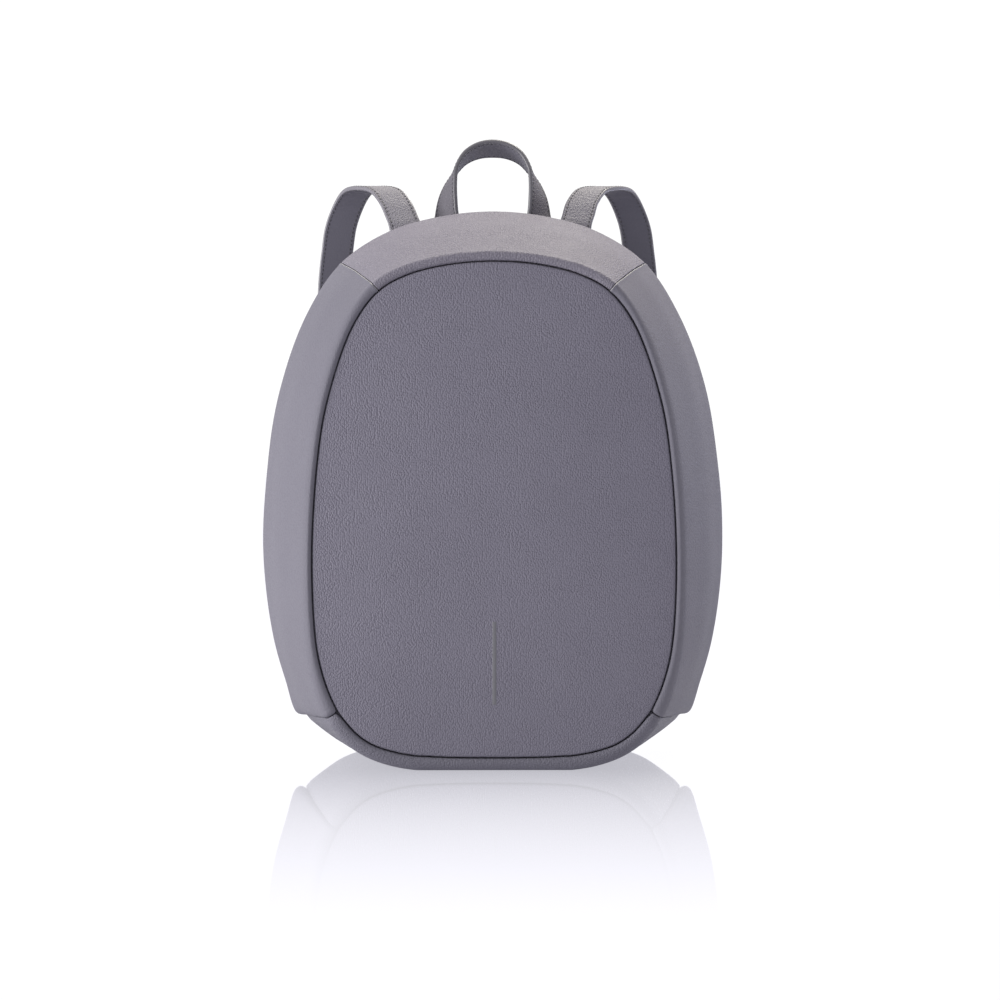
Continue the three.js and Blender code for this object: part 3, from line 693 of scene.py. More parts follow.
# Turn from the widest line to the back: share of the back rim's width, then depth on the outside
# and on the inside as shares of the back rim's depth
BACK_TURN = ((0.12, 0.5, 0.35), (0.42, 0.86, 0.55))

# Points read between two rows of the rim, the wall and the stations
RIM_STEPS = 4
WALL_STEPS = 5
STATION_STEPS = 10

# Each edge at a seam: radius, recess and reach, as edge_dip takes them
SEWN_EDGE = (0.5, 0.0, 1.0)  # the top's edge, turned in and sewn face to face with the side's
PIPED_EDGE = (1.3, -0.5, 3.0)  # the sides' upper edge, which stands a little proud of the seam
TURNED_EDGE = (2.6, 0.0, 1.0)  # the sides' lower edge, folded under thick padding
TUCKED_EDGE = (1.2, 0.9, 6.0)  # the base's edge, tucked under the sides
SEAM_HIGHLIGHT_ROWS = 3  # rows of a piped edge painted lighter as a painted highlight, 0.5 mm
# Stations in from a seam, close together where the edge turns in
SEAM_DISTANCES = np.array([0.0, 0.15, 0.3, 0.5, 0.75, 1.05, 1.5, 2.2, 3.2, 4.6, 6.5])
UNEVEN_SIZE = 55.0  # width of the soft walls' waves


def gusset_faces(stations, extra_lip):
    """Rows of points across the outer face and the matching rows of the inner face, and the outline."""
    outline = Outline(stations)
    y = crest_y(outline.rim_edge[:, 1])
    soft = 1 - smoothstep((outline.outward[:, 1] - CRISP_FROM) / CRISP_SPAN)

    def from_seam(distance, depth):
        return at(outline.seam + outline.outward * distance[:, None], y + depth)

    outer = [
        from_seam(
            outline.rim_width * (share + more_share * soft) + past + more_past * soft,
            depth + more_depth * soft,
        )
        for share, past, depth, more_share, more_past, more_depth in RIM_OUTSIDE
    ]
    inner = [from_seam(outline.rim_width * share + past, depth) for share, past, depth in RIM_INSIDE]
    shoulder = y + SHOULDER_DEPTH
    bulge = WALL_BULGE * np.minimum(outline.rim_edge[:, 1] / BULGE_FROM, 1)
    for share, swell in WALL_PROFILE:
        planar = outline.rim_edge + (outline.widest - outline.rim_edge) * share
        planar = planar + outline.outward * (bulge * swell)[:, None]
        planar[:, 1] = np.maximum(planar[:, 1], 0)
        depth = shoulder + (WIDEST_Y - shoulder) * share
        outer.append(at(planar, depth))
        inner.append(at(planar - outline.outward * WALL, depth + (INSIDE_STEP if share == 0 else 0)))
    for share, outside, inside in BACK_TURN:
        inward = share * BACK_RIM
        outer.append(at(towards_centre(outline.widest, inward), WIDEST_Y + outside * BACK_RIM_DEPTH))
        inner.append(at(towards_centre(outline.widest, inward + WALL), WIDEST_Y + inside * BACK_RIM_DEPTH))
    lip = outline.inset + extra_lip
    outer.append(at(towards_centre(outline.widest, lip), BACK_RIM_Y))
    inner.append(at(towards_centre(outline.widest, lip), BACK_RIM_Y - WALL))
    return np.stack(outer, 1), np.stack(inner, 1), outline


def across_profile(rows):
    """Reads the rim and the wall finely across each station's rows. The flange's edge stays a corner."""
    rim_count = len(RIM_OUTSIDE)
    last = rows.shape[1] - 1
    places = [0.0]
    places += list(np.arange(1, rim_count, 1 / RIM_STEPS))
    places += list(np.arange(rim_count, last, 1 / WALL_STEPS))
    places += [float(last)]
    return np.stack([catmull_rom(row, np.array(places)) for row in rows])


def edge_dip(distance, radius, recess, reach):
    """How far a wall turns in near its seam: rounded over at its edge, and sunk over a wider stretch."""
    short = np.maximum(radius - distance, 0)
    rounded = radius - np.sqrt(np.maximum(radius**2 - short**2, 0))
    return rounded + recess * smoothstep(1 - distance / reach)


def seam_stations(start, end):
    """Stations of a gusset, close together near its seams and half a gap short of them."""
    step = 0.1
    speeds = [
        np.linalg.norm(np.diff(Outline([a, a + step]).rim_edge, axis=0)) / step
        for a in (start, end - step)
    ]
    first = start + (GAP / 2 + SEAM_DISTANCES) / speeds[0]
    last = end - (GAP / 2 + SEAM_DISTANCES[::-1]) / speeds[1]
    count = int(round((last[0] - first[-1]) * STATION_STEPS))
    return np.concatenate([first, np.linspace(first[-1], last[0], count)[1:-1], last])


def outward_normals(grid, directions):
    """Unit normals of a grid of points, turned to the outside."""
    normals = np.cross(np.gradient(grid, axis=0), np.gradient(grid, axis=1))
    normals /= np.linalg.norm(normals, axis=2)[:, :, None] + 1e-9
    outward = at(directions, 0)
    middle = grid.shape[1] // 2
    if np.mean(np.sum(normals[:, middle] * outward, 1)) < 0:
        normals = -normals
    return normals


def gusset(name, start, end, materials, start_edge, end_edge, extra_lip, uneven):
    """One wall section between two seams. A second, lighter material is a painted highlight along the
    edge of a section whose edge is PIPED_EDGE."""
    outer, inner, outline = gusset_faces(seam_stations(start, end), extra_lip)
    outer = across_profile(outer)
    inner = across_profile(inner)
    steps = np.linalg.norm(np.diff(outer, axis=0), axis=2)
    from_start = np.vstack([np.zeros(outer.shape[1]), np.cumsum(steps, axis=0)])
    from_end = from_start[-1] - from_start
    dip = edge_dip(from_start, *start_edge) + edge_dip(from_end, *end_edge)
    if uneven:
        waves = undulation(outer.reshape(-1, 3), UNEVEN_SIZE, uneven, start)
        dip = dip + waves.reshape(dip.shape)
    dip[:, :2] = 0  # the flange stays flat
    outer = outer - outward_normals(outer, outline.outward) * dip[:, :, None]
    outer[:, :, 2] = np.maximum(outer[:, :, 2], 0)
    loops = np.concatenate([outer, inner[:, ::-1]], axis=1)
    bands = np.zeros(len(loops), int)
    # The rows next to a piped edge take the painted highlight
    if start_edge == PIPED_EDGE:
        bands[:SEAM_HIGHLIGHT_ROWS] = 1
    if end_edge == PIPED_EDGE:
        bands[-SEAM_HIGHLIGHT_ROWS - 1 :] = 1
    return loft(name, loops, materials, cap="strip", bands=bands)


# First and last seam of each section, going round from the middle of the base
TOP_SEAMS = (UPPER_SEAM, FULL_TURN - UPPER_SEAM)
RIGHT_SEAMS = (LOWER_SEAM, UPPER_SEAM)
LEFT_SEAMS = (FULL_TURN - UPPER_SEAM, FULL_TURN - LOWER_SEAM)
BASE_SEAMS = (-LOWER_SEAM, LOWER_SEAM)
WIDE_LIP = PANEL_INSET - GAP  # the base has no zip, so its lip reaches to the back panel
side_materials = [shaded_side_leather, seam_highlight_paint]

# Node, slot, seams, materials, edges, what the lip adds, height of the waves
for node, slot, seams, materials, edges, extra_lip, uneven in (
    ("top_gusset", "pebbled_leather", TOP_SEAMS, [body_leather], (SEWN_EDGE, SEWN_EDGE), 0, 0.25),
    ("right_gusset", "smooth_leather", RIGHT_SEAMS, side_materials, (TURNED_EDGE, PIPED_EDGE), 0, 0.5),
    ("left_gusset", "smooth_leather", LEFT_SEAMS, side_materials, (PIPED_EDGE, TURNED_EDGE), 0, 0.5),
    ("base_gusset", "pebbled_leather", BASE_SEAMS, [base_leather], (TUCKED_EDGE, TUCKED_EDGE), WIDE_LIP, 0),
):
    section = gusset(node + "_leather", *seams, materials, *edges, extra_lip, uneven)
    dress(section, slot, node)


# Panels
PANEL_STATIONS = np.arange(0, FULL_TURN, 0.1)
PANEL_EDGE = 1.3  # radius of the front panel's rolled edge
PANEL_REACH = 140  # mean distance from the body's centre to that edge
PANEL_SUNK = 1  # the rolled edge lies this far behind the rim's crest
DOME_POWER = 2.4  # the dome is flat in the middle and falls away near its edge
ROLL_ANGLES = np.radians(np.linspace(90, 0, 8))
FACE_SHARES = np.linspace(0.04, 0.975, 32)  # rows of the face, from the panel's middle out
INSIDE_SHARES = (0.96, 0.7, 0.3)  # rows of its back, from the edge in
BACK_ROLL = 2.4  # radius of the back panel's edge
BORDER = 9  # from the back panel's edge to its stitched line
BORDER_DEPTH = 0.7
BORDER_WIDTH = 1.1
BORDER_LIFT = 0.1  # of the stitches over the line's bottom
# Rows in from the back panel's edge, close together at the roll and at the stitched line
BACK_DISTANCES = (0, 0.15, 0.4, 0.8, 1.3, 2, 3, 5, 6.6, 7.6, 8.2, 8.6, 9, 9.4, 9.8, 10.4, 11.4, 14, 20)


def front_face_y(height, share):
    """Depth of the front panel's face at a height, and at a share of the way to its edge."""
    return crest_y(height) + PANEL_SUNK - PANEL_DOME * (1 - share**DOME_POWER)


def panel_back_y(height, share):
    return front_face_y(height, share) + PANEL_THICKNESS


def ring(edge, share, depth):
    """A loop of points at a share of the way from the body's centre to the panel's edge."""
    planar = BODY_CENTRE + (edge - BODY_CENTRE) * share
    return at(planar, depth(planar[:, 1], share))


def front_panel():
    outline = Outline(PANEL_STATIONS)
    edge = outline.seam - outline.outward * GROOVE_LINE
    rows = [ring(edge, share, front_face_y) for share in FACE_SHARES]
    for angle in ROLL_ANGLES:
        sink = PANEL_EDGE * (1 - math.sin(angle))
        share = 1 - PANEL_EDGE / PANEL_REACH * (1 - math.cos(angle))
        rolled = ring(edge, share, front_face_y)
        rolled[:, 1] += sink
        rows.append(rolled)
    rows.append(at(edge, crest_y(edge[:, 1]) + GROOVE_DEPTH - GAP))
    for share in INSIDE_SHARES:
        rows.append(ring(edge, share, panel_back_y))
    height = BODY_CENTRE[1]
    tips = [(0, face_y(height, 0), height) for face_y in (front_face_y, panel_back_y)]
    return loft("front_panel_leather", rows, [front_leather], tips=tips)


def back_edge():
    outline = Outline(PANEL_STATIONS)
    return towards_centre(outline.widest, outline.inset + PANEL_INSET)


def back_face_y(edge, share):
    """The back panel's face: flat, rounded off at its edge, with a sewn line a little way in."""
    reach = np.linalg.norm(edge - BODY_CENTRE, axis=1)
    inward = (1 - share) * reach
    rolled = edge_dip(inward, BACK_ROLL, 0, 1)
    sewn = BORDER_DEPTH * np.exp(-(((inward - BORDER) / BORDER_WIDTH) ** 2))
    return BACK_FACE_Y - rolled - sewn


def back_panel():
    edge = back_edge()
    reach = np.linalg.norm(edge - BODY_CENTRE, axis=1).mean()
    shares = [1 - distance / reach for distance in BACK_DISTANCES]
    shares += list(np.linspace(shares[-1], 0.05, 12)[1:])
    rows = [at(BODY_CENTRE + (edge - BODY_CENTRE) * s, back_face_y(edge, s)) for s in shares[::-1]]
    back_y = BACK_FACE_Y - BACK_THICKNESS
    rows.append(at(edge, back_y))
    rows.append(at(BODY_CENTRE + (edge - BODY_CENTRE) * 0.5, back_y))
    tips = [(0, BACK_FACE_Y, BODY_CENTRE[1]), (0, back_y, BODY_CENTRE[1])]
    return loft("back_panel_mesh", rows, [back_mesh], tips=tips)


front = dress(front_panel(), "front_leather", "front_panel")
back = dress(back_panel(), "back_fabric", "back_panel")


# Stitches
# A stitch from end to end: share of its length, share of its radius
STITCH_PROFILE = ((-0.5, 0.35), (-0.38, 0.85), (0.0, 1.0), (0.38, 0.85), (0.5, 0.35))
STITCH_SIDES = 6


def along_line(line, pitch):
    """Evenly spaced points on a line of points, with the direction of the line at each."""
    lengths = np.linalg.norm(np.diff(line, axis=0), axis=1)
    reached = np.concatenate([[0], np.cumsum(lengths)])
    places = np.arange(pitch / 2, reached[-1] - pitch / 2, pitch)
    step = 0.3

    def read(where):
        return np.stack([np.interp(where, reached, line[:, k]) for k in range(3)], 1)

    direction = read(places + step) - read(places - step)
    direction /= np.linalg.norm(direction, axis=1)[:, None]
    return read(places), direction, places, reached


def stitch_mesh(name, runs, material):
    """One mesh of short threads. Each run is (line, normals at the line's points)."""
    angles = [2 * math.pi * k / STITCH_SIDES for k in range(STITCH_SIDES)]
    points = []
    faces = []
    for line, normals in runs:
        centres, direction, places, reached = along_line(line, STITCH_PITCH)
        out = np.stack([np.interp(places, reached, normals[:, k]) for k in range(3)], 1)
        for centre, along, up in zip(centres, direction, out):
            side = np.cross(along, up)
            side /= np.linalg.norm(side)
            up = np.cross(side, along)
            first = len(points)
            for reach, width in STITCH_PROFILE:
                sink = STITCH_DIVE * STITCH_RADIUS * abs(2 * reach) ** 3
                middle = centre + along * reach * STITCH_LENGTH - up * sink
                for angle in angles:
                    round_it = math.cos(angle) * side * STITCH_FLATNESS + math.sin(angle) * up
                    points.append(middle + width * STITCH_RADIUS * round_it)
            last = first + (len(STITCH_PROFILE) - 1) * STITCH_SIDES
            for start in range(first, last, STITCH_SIDES):
                for k in range(STITCH_SIDES):
                    a = start + k
                    b = start + (k + 1) % STITCH_SIDES
                    faces.append((a, b, b + STITCH_SIDES, a + STITCH_SIDES))
            faces.append(tuple(first + k for k in reversed(range(STITCH_SIDES))))
            faces.append(tuple(last + k for k in range(STITCH_SIDES)))
    return mesh_object(name, points, faces, [material])


def back_border_line():
    edge = back_edge()
    reach = np.linalg.norm(edge - BODY_CENTRE, axis=1)
    share = (1 - BORDER / reach)[:, None]
    line = at(BODY_CENTRE + (edge - BODY_CENTRE) * share, BACK_FACE_Y - BORDER_DEPTH + BORDER_LIFT)
    line = np.vstack([line, line[:1]])
    return line, np.tile([0.0, 1.0, 0.0], (len(line), 1))


dress(stitch_mesh("back_panel_stitches", [back_border_line()], dark_thread), "back_fabric")


# Straps
SECTION_CORNER = 1.1
FACE_POINTS = 25  # across a strap's face
CORNER_POINTS = 7  # round its edge
PILLOW = 0.22  # how far a strap's face stands proud between its rows of stitches
PILLOW_REACH = 2.5
EDGE_BEAD = 0.12  # a low ridge that the creasing iron leaves along the edge
EDGE_BEAD_INSET = 1.1
EDGE_BEAD_WIDTH = 0.5
STITCH_LIFT = 0.05  # of a row of stitches over the face
BACKING_SINK = 0.02  # of a row of stitches into the backing
STRAP_STEPS = 9


def strap_section(width, thickness):
    """Points round a strap's section, with each column's material: 0 outer face, 1 edge, 2 backing."""
    half = width / 2
    high = thickness / 2

    def crown(x):
        inset = half - abs(x)
        middle = PILLOW * smoothstep((inset - STITCH_INSET) / PILLOW_REACH)
        bead = EDGE_BEAD * math.exp(-(((inset - EDGE_BEAD_INSET) / EDGE_BEAD_WIDTH) ** 2))
        return high - PILLOW + middle + bead

    flat = half - SECTION_CORNER
    edge_top = crown(flat)

    def corner(x, first, last):
        angles = np.radians(np.linspace(first, last, CORNER_POINTS + 2))[1:-1]
        centre = (edge_top - high) / 2
        reach = (edge_top + high) / 2
        return [(x + SECTION_CORNER * math.cos(a), centre + reach * math.sin(a)) for a in angles]

    across = np.linspace(-flat, flat, FACE_POINTS)
    points = [(x, crown(x)) for x in across]
    points += corner(flat, 90, -90)
    points += [(x, -high) for x in across[::-1]]
    points += corner(-flat, 270, 90)
    face, edge = FACE_POINTS - 1, CORNER_POINTS + 1
    columns = [0] * face + [1] * edge + [2] * face + [1] * edge
    return np.array(points), np.array(columns)


def sweep(middles, across, outside_sign):
    """Frames along a strap: its middle points, width directions and outer normals."""
    along = np.gradient(middles, axis=0)
    along /= np.linalg.norm(along, axis=1)[:, None]
    outside = outside_sign * np.cross(along, across)
    outside /= np.linalg.norm(outside, axis=1)[:, None]
    return middles, across, outside


def strap_body(name, frames, width, thickness, face, edge):
    middles, across, outside = frames
    section, columns = strap_section(width, thickness)
    loops = (
        middles[:, None]
        + across[:, None] * section[None, :, 0:1]
        + outside[:, None] * section[None, :, 1:2]
    )
    return loft(name, loops, [face, edge, lining_and_underside_shade], columns=columns, cap="face", sharp=60)


def strap_stitches(name, frames, width, thickness):
    """Two rows of stitches on both faces, and a box of them across each sewn end."""
    middles, across, outside = frames
    reach = width / 2 - STITCH_INSET
    face = thickness / 2 - PILLOW + STITCH_LIFT
    back = thickness / 2 - BACKING_SINK
    runs = []
    for side in (-1, 1):
        edge = middles + across * side * reach
        runs.append((edge + outside * face, outside))
        runs.append((edge - outside * back, -outside))
    for index, other in ((1, 0), (-2, -1)):
        inward = middles[index] - middles[other]
        inward /= np.linalg.norm(inward)
        for distance in (STITCH_INSET, STITCH_INSET + STITCH_BOX):
            centre = middles[other] + inward * distance
            line = np.array([centre - across[other] * reach, centre + across[other] * reach])
            sign = 1 if outside[other][1] > 0 else -1
            level = face if sign > 0 else back
            normals = np.tile(outside[other] * sign, (2, 1))
            runs.append((line + normals * level, normals))
    return stitch_mesh(name, runs, dark_thread)


def read_rows(rows):
    """Reads a strap's middle points finely and keeps them from sinking into the back panel."""
    places = np.linspace(0, len(rows) - 1, (len(rows) - 1) * STRAP_STEPS + 1)
    middles = catmull_rom(rows, places)
    middles[:, 1] = np.maximum(middles[:, 1], SEWN_Y + STRAP_THICKNESS / 2)
    return middles, places


def shoulder_frames(side):
    rows = [
        (
            side * out * BODY_WIDTH / 2 - sway * LOOP_SWAY,
            SEWN_Y + STRAP_THICKNESS / 2 + behind * LOOP_REACH,
            up * BODY_HEIGHT + rise * LOOP_RISE,
        )
        for out, behind, up, rise, sway in SHOULDER_STRAP
    ]
    middles, _ = read_rows(rows)
    across = np.tile([float(side), 0.0, 0.0], (len(middles), 1))
    return sweep(middles, across, -side)


def handle_frames():
    """The handle's two halves meet at its top. Its width turns from sideways to rearwards as it rises,
    and its rear edge drops."""
    rows = []
    widths = []
    for side, table in ((-1, HANDLE), (1, HANDLE[-2::-1])):
        for out, lean, up, rise, turn, drop in table:
            level = math.cos(math.radians(drop))
            outward = math.cos(math.radians(turn)) * level
            rearward = math.sin(math.radians(turn)) * level
            rear = HANDLE_WIDTH / 2 * rearward
            rows.append(
                (
                    side * out * HANDLE_SPAN / 2,
                    SEWN_Y + HANDLE_THICKNESS / 2 + max(lean * HANDLE_LEAN, rear),
                    up * BODY_HEIGHT + rise * HANDLE_RISE,
                )
            )
            widths.append((side * outward, rearward, -math.sin(math.radians(drop))))
    middles, places = read_rows(rows)
    across = catmull_rom(widths, places)
    across /= np.linalg.norm(across, axis=1)[:, None]
    return sweep(middles, across, 1)


for node, frames, face, edge in (
    ("left_shoulder_strap", shoulder_frames(-1), strap_leather, edge_paint),
    ("right_shoulder_strap", shoulder_frames(1), strap_leather, edge_paint),
    ("carry_handle", handle_frames(), shaded_handle_leather, shaded_handle_edge_paint),
):
    body = strap_body(node + "_leather", frames, STRAP_WIDTH, STRAP_THICKNESS, face, edge)
    dress(body, "strap_leather", node)
    dress(strap_stitches(node + "_stitches", frames, STRAP_WIDTH, STRAP_THICKNESS), "strap_leather")


# Zip
ZIP_STATIONS = FULL_TURN - 2 * LOWER_SEAM
ZIP_STEPS = 12  # points read between two stations
ZIP_END = 0.05  # of a station, from the zip's end to the seam
TAPE_EDGE = 1.5  # the tape's woven edge
LOOP_SHARE = 0.8  # of the coil's width that one loop takes
LOOP_HALF = 0.288  # half a loop's thickness, as a share of the pitch
LOOP_CROWN = 0.8  # how much thinner it is at its top
# A loop of the coil from side to side: share of its half width, share of its height
COIL_LOOP = ((-1, 0.0), (-0.92, 0.6), (-0.6, 1.0), (0.6, 1.0), (0.92, 0.6), (1, 0.0))

SLIDER_LENGTH = 11
SLIDER_WIDTH = 8
SLIDER_DEPTH = 2.6
SLIDER_BEVEL = 0.6
PULL_LENGTH = 24
PULL_WIDTH = 7
PULL_DEPTH = 1.6
PULL_BEVEL = 0.4
PULL_TOP = SLIDER_LENGTH / 2
PULL_END = PULL_TOP + PULL_LENGTH

# Slider and pull from above: millimetres along, half width as a share of the width
SLIDER_OUTLINE = (
    (-SLIDER_LENGTH / 2, 0.28),
    (-SLIDER_LENGTH / 2 + 1, 0.4),
    (-SLIDER_LENGTH / 4, 0.5),
    (SLIDER_LENGTH / 4, 0.46),
    (SLIDER_LENGTH / 2 - 1, 0.42),
    (SLIDER_LENGTH / 2, 0.34),
)
PULL_OUTLINE = (
    (PULL_TOP - 0.5, 0.16),
    (PULL_TOP + 2, 0.18),
    (PULL_TOP + 3.5, 0.36),
    (PULL_TOP + 5, 0.5),
    (PULL_END - 2, 0.5),
    (PULL_END, 0.46),
    (PULL_END + 1.3, 0.34),
    (PULL_END + 2, 0.18),
)


def zip_line():
    first = LOWER_SEAM + ZIP_END
    last = FULL_TURN - LOWER_SEAM - ZIP_END
    return Outline(np.linspace(first, last, ZIP_STATIONS * ZIP_STEPS + 1))


def zip_tape():
    half = ZIP_WIDTH / 2
    coil = ZIP_COIL_WIDTH / 2
    outline = zip_line()
    profile = [(x, 0.0) for x in (-half, -half + TAPE_EDGE, -coil, 0, coil, half - TAPE_EDGE, half)]
    profile += [(half, -ZIP_TAPE), (-half, -ZIP_TAPE)]
    middle = outline.inset + GAP + half
    rows = [at(towards_centre(outline.widest, middle + x), ZIP_FACE_Y + y) for x, y in profile]
    return loft("zip_tape", np.stack(rows, 1), [zip_weave], cap="face")


def zip_coil():
    """The closed coil: a row of small rounded loops, every other one set a little to one side."""
    outline = zip_line()
    line = at(towards_centre(outline.widest, outline.inset + GAP + ZIP_WIDTH / 2), ZIP_FACE_Y)
    centres, direction, _, _ = along_line(line, TOOTH_PITCH / 2)
    points = []
    faces = []
    half_width = ZIP_COIL_WIDTH / 2 * LOOP_SHARE
    shift = ZIP_COIL_WIDTH / 2 - half_width
    up = np.array([0.0, 1.0, 0.0])
    for number, (centre, along) in enumerate(zip(centres, direction)):
        side = np.cross(along, up)
        middle = centre + side * shift * (1 if number % 2 else -1)
        first = len(points)
        for reach, height in COIL_LOOP:
            half = LOOP_HALF * TOOTH_PITCH * (LOOP_CROWN if height == 1.0 else 1.0)
            place = middle + side * reach * half_width + up * height * ZIP_COIL_HEIGHT
            points += [place - along * half, place + along * half]
        last = len(points) - 2
        for a in range(first, last, 2):
            faces.append((a, a + 1, a + 3, a + 2))
        faces.append(tuple(range(first, last + 1, 2)))
        faces.append(tuple(range(last + 1, first, -2)))
        faces.append((first, last, last + 1, first + 1))
    return mesh_object("zip_coil", points, faces, [coil_nylon], sharp=80)


def rounded_plate(outline, width, low, high, bevel):
    """Rows of a plate with bevelled edges, from an outline of (along, half width as a share)."""
    rows = []
    for along, share in outline:
        half = share * width
        inner = half - bevel
        rows.append(
            [
                (along, -inner, low),
                (along, inner, low),
                (along, half, low + bevel),
                (along, half, high - bevel),
                (along, inner, high),
                (along, -inner, high),
                (along, -half, high - bevel),
                (along, -half, low + bevel),
            ]
        )
    return np.array(rows, float)


def zip_pull():
    """The slider and its hanging pull, which narrows at the bail and ends in a rounded tip."""
    station = LOWER_SEAM + ZIP_STATIONS * SLIDER_SHARE
    step = 0.3
    here = Outline([station, station - step])
    places = towards_centre(here.widest, here.inset + GAP + ZIP_WIDTH / 2)
    down = places[1] - places[0]
    down /= np.linalg.norm(down)
    side = np.array([-down[1], down[0]])
    slider = rounded_plate(SLIDER_OUTLINE, SLIDER_WIDTH, 0.0, SLIDER_DEPTH, SLIDER_BEVEL)
    pull = rounded_plate(PULL_OUTLINE, PULL_WIDTH, SLIDER_DEPTH - PULL_DEPTH, SLIDER_DEPTH, PULL_BEVEL)
    made = []
    for name, rows in (("zip_slider", slider), ("zip_pull_tab", pull)):
        planar = places[0] + rows[..., 0:1] * down + rows[..., 1:2] * side
        y = ZIP_FACE_Y + ZIP_COIL_HEIGHT + GAP + rows[..., 2]
        loops = np.stack([planar[..., 0], y, planar[..., 1]], -1)
        made.append(loft(name, loops, [slider_metal], cap="face", sharp=35))
    return made


dress(zip_tape(), "zip_tape", "zip")
dress(zip_coil(), "zip_tape")
slider, pull = zip_pull()
dress(slider, "pull_metal", "zip_pull")
dress(pull, "pull_metal")


# Reflective strip
STRIP_ROWS = 25
STRIP_FACE = 0.85  # share of its width that is flat


def reflective_strip():
    outline = Outline([0.0])
    bottom = outline.seam[0, 1] - outline.outward[0, 1] * GROOVE_WIDTH
    half = STRIP_WIDTH / 2
    loops = []
    for z in np.linspace(STRIP_BOTTOM, STRIP_BOTTOM + STRIP_LENGTH, STRIP_ROWS):
        share = (BODY_CENTRE[1] - z) / (BODY_CENTRE[1] - bottom)
        face = front_face_y(z, share)
        front_y = face - STRIP_PROUD
        loops.append(
            [
                (-half, face + STRIP_SUNK, z),
                (half, face + STRIP_SUNK, z),
                (half, face, z),
                (STRIP_FACE * half, front_y, z),
                (-STRIP_FACE * half, front_y, z),
                (-half, face, z),
            ]
        )
    return loft("reflective_strip_film", loops, [strip_film], cap="face")


dress(reflective_strip(), "reflective_film", "reflective_strip")


# Floor, backdrop, light and camera
MIRROR_START = -60  # where the floor's mirror image starts to fade, and where it ends
MIRROR_END = -580
MIRROR_STRENGTH = 0.5
MIRROR_FALL = 1.4  # how steeply it fades
FLOOR_GLOW = (0.985, 0.98, 1.06, 1)
FLOOR_STRENGTH = 0.94
BACKDROP_STRENGTH = 1.02
WORLD_STRENGTH = 0.75
CAMERA_X = -12
CAMERA_Y = -1655
CAMERA_Z = 220
CAMERA_LENS = 92
SENSOR_WIDTH = 36
CAMERA_DIP = 1.79  # degrees below level
CAMERA_TURN = -0.558  # degrees, to the right where it is negative


def acrylic_floor(name):
    """White acrylic sheet, lit from below: its mirror image of the bag fades towards the camera."""
    material = bpy.data.materials.new(name)
    material.use_nodes = True
    tree = material.node_tree
    tree.nodes.clear()
    place = add(tree, "ShaderNodeTexCoord").outputs["Object"]
    depth = add(tree, "ShaderNodeSeparateXYZ", {"Vector": place}).outputs["Y"]
    near = add(
        tree,
        "ShaderNodeMapRange",
        {"Value": depth, "From Min": MIRROR_END * MM, "From Max": MIRROR_START * MM},
    )
    fade = add(tree, "ShaderNodeMath", {0: near.outputs["Result"], 1: MIRROR_FALL}, operation="POWER")
    mirror = add(tree, "ShaderNodeMath", {0: fade.outputs[0], 1: MIRROR_STRENGTH}, operation="MULTIPLY")
    glow = add(tree, "ShaderNodeEmission", {"Color": FLOOR_GLOW, "Strength": FLOOR_STRENGTH})
    matt = add(tree, "ShaderNodeBsdfDiffuse", {"Color": (0.06, 0.06, 0.06, 1)})
    sheet = add(tree, "ShaderNodeAddShader", {0: glow.outputs[0], 1: matt.outputs[0]})
    gloss = add(tree, "ShaderNodeBsdfGlossy", {"Color": (1, 1, 1, 1), "Roughness": 0.03})
    mixed = add(
        tree,
        "ShaderNodeMixShader",
        {0: mirror.outputs[0], 1: sheet.outputs[0], 2: gloss.outputs[0]},
    )
    add(tree, "ShaderNodeOutputMaterial", {"Surface": mixed.outputs[0]})
    return material


def stage_plane(name, material, size, location, rotation):
    """A flat sheet of the stage. Its size and place are in metres."""
    bpy.ops.mesh.primitive_plane_add(size=1, location=location, rotation=rotation)
    plane = bpy.context.object
    plane.name = name
    plane.scale = (size[0], size[1], 1)
    plane.data.materials.append(material)
    bpy.ops.object.transform_apply(location=True, rotation=True, scale=True)


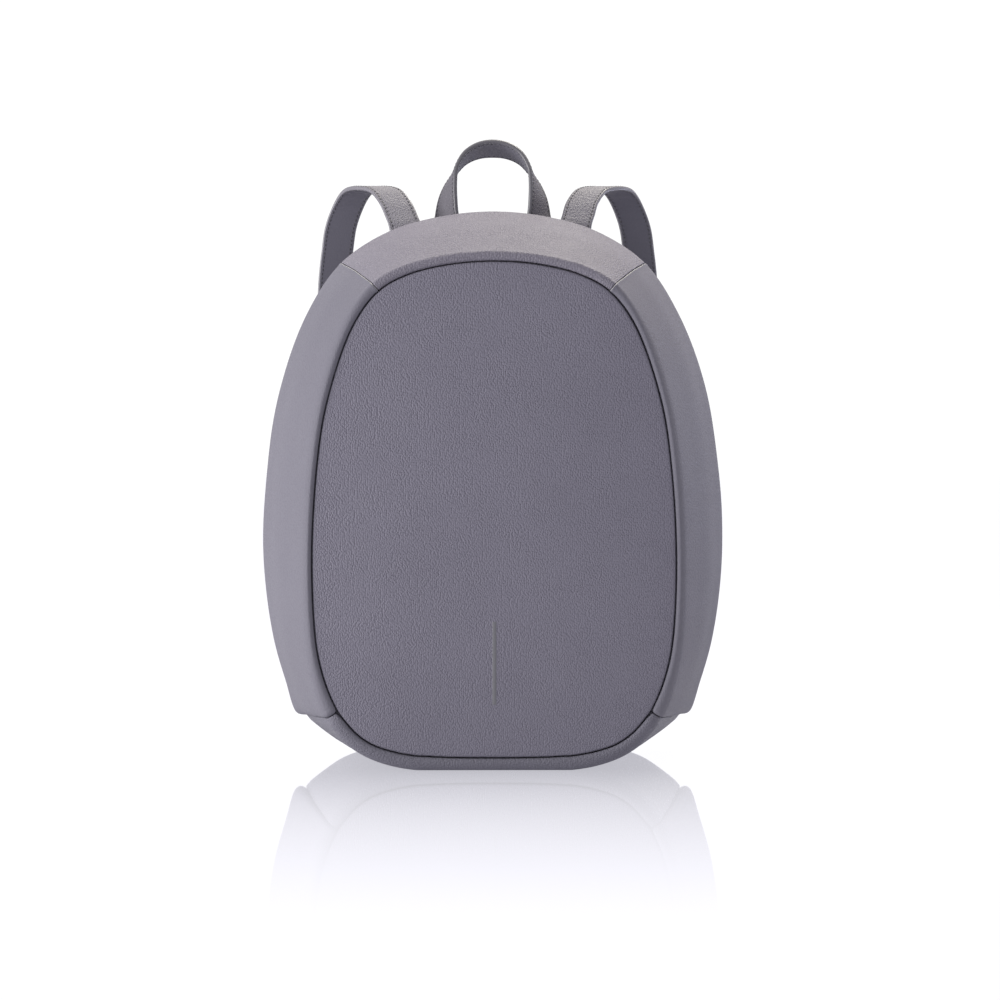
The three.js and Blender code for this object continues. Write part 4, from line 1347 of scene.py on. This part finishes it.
def backdrop_material(name):
    """White backdrop, lit evenly until it reads as pure white."""
    material, _, shader = new_material(name)
    shader.inputs["Base Color"].default_value = (0, 0, 0, 1)
    shader.inputs["Emission Color"].default_value = (1, 1, 1, 1)
    shader.inputs["Emission Strength"].default_value = BACKDROP_STRENGTH
    return material


def area_light(name, location, target, size, power, colour):
    data = bpy.data.lights.new(name, "AREA")
    data.shape = "RECTANGLE"
    data.size, data.size_y = size
    data.energy = power
    data.color = colour
    light = bpy.data.objects.new(name, data)
    light.visible_camera = False
    light.location = location
    light.rotation_euler = (Vector(target) - Vector(location)).to_track_quat("-Z", "Y").to_euler()
    bpy.context.scene.collection.objects.link(light)


upright = (math.pi / 2, 0, 0)
stage_plane("floor", acrylic_floor("floor_acrylic"), (40, 40), (0, 0, 0), (0, 0, 0))
stage_plane("backdrop", backdrop_material("backdrop_white"), (4.6, 3), (0, 9, 1.5), upright)

# Lights: name, place, aim and size in metres, power in watts, colour
for light in (
    ("key_left", (-1.72, -0.46, 0.45), (0, 0, 0.2), (0.8, 1.0), 42, (1, 1, 0.96)),
    ("top", (0.38, 0.43, 1.52), (0, 0, 0.3), (0.6, 0.5), 27, (1, 0.965, 0.84)),
    ("right_strip", (1.25, 1.0, 0.25), (0.14, 0, 0.2), (0.12, 1.0), 5.4, (0.9, 0.93, 1.2)),
):
    area_light(*light)

world = bpy.data.worlds.new("studio")
world.use_nodes = True
sky = world.node_tree.nodes["Background"]
sky.inputs["Color"].default_value = (1, 1, 1, 1)
sky.inputs["Strength"].default_value = WORLD_STRENGTH
bpy.context.scene.world = world
bpy.context.scene.view_settings.view_transform = "Standard"
bpy.context.scene.view_settings.look = "None"

camera_data = bpy.data.cameras.new("camera")
camera_data.lens = CAMERA_LENS
camera_data.sensor_width = SENSOR_WIDTH
camera_data.clip_end = 50
camera = bpy.data.objects.new("camera", camera_data)
camera.location = (CAMERA_X * MM, CAMERA_Y * MM, CAMERA_Z * MM)
camera.rotation_euler = (math.radians(90 - CAMERA_DIP), 0, math.radians(CAMERA_TURN))
bpy.context.scene.collection.objects.link(camera)
bpy.context.scene.camera = camera
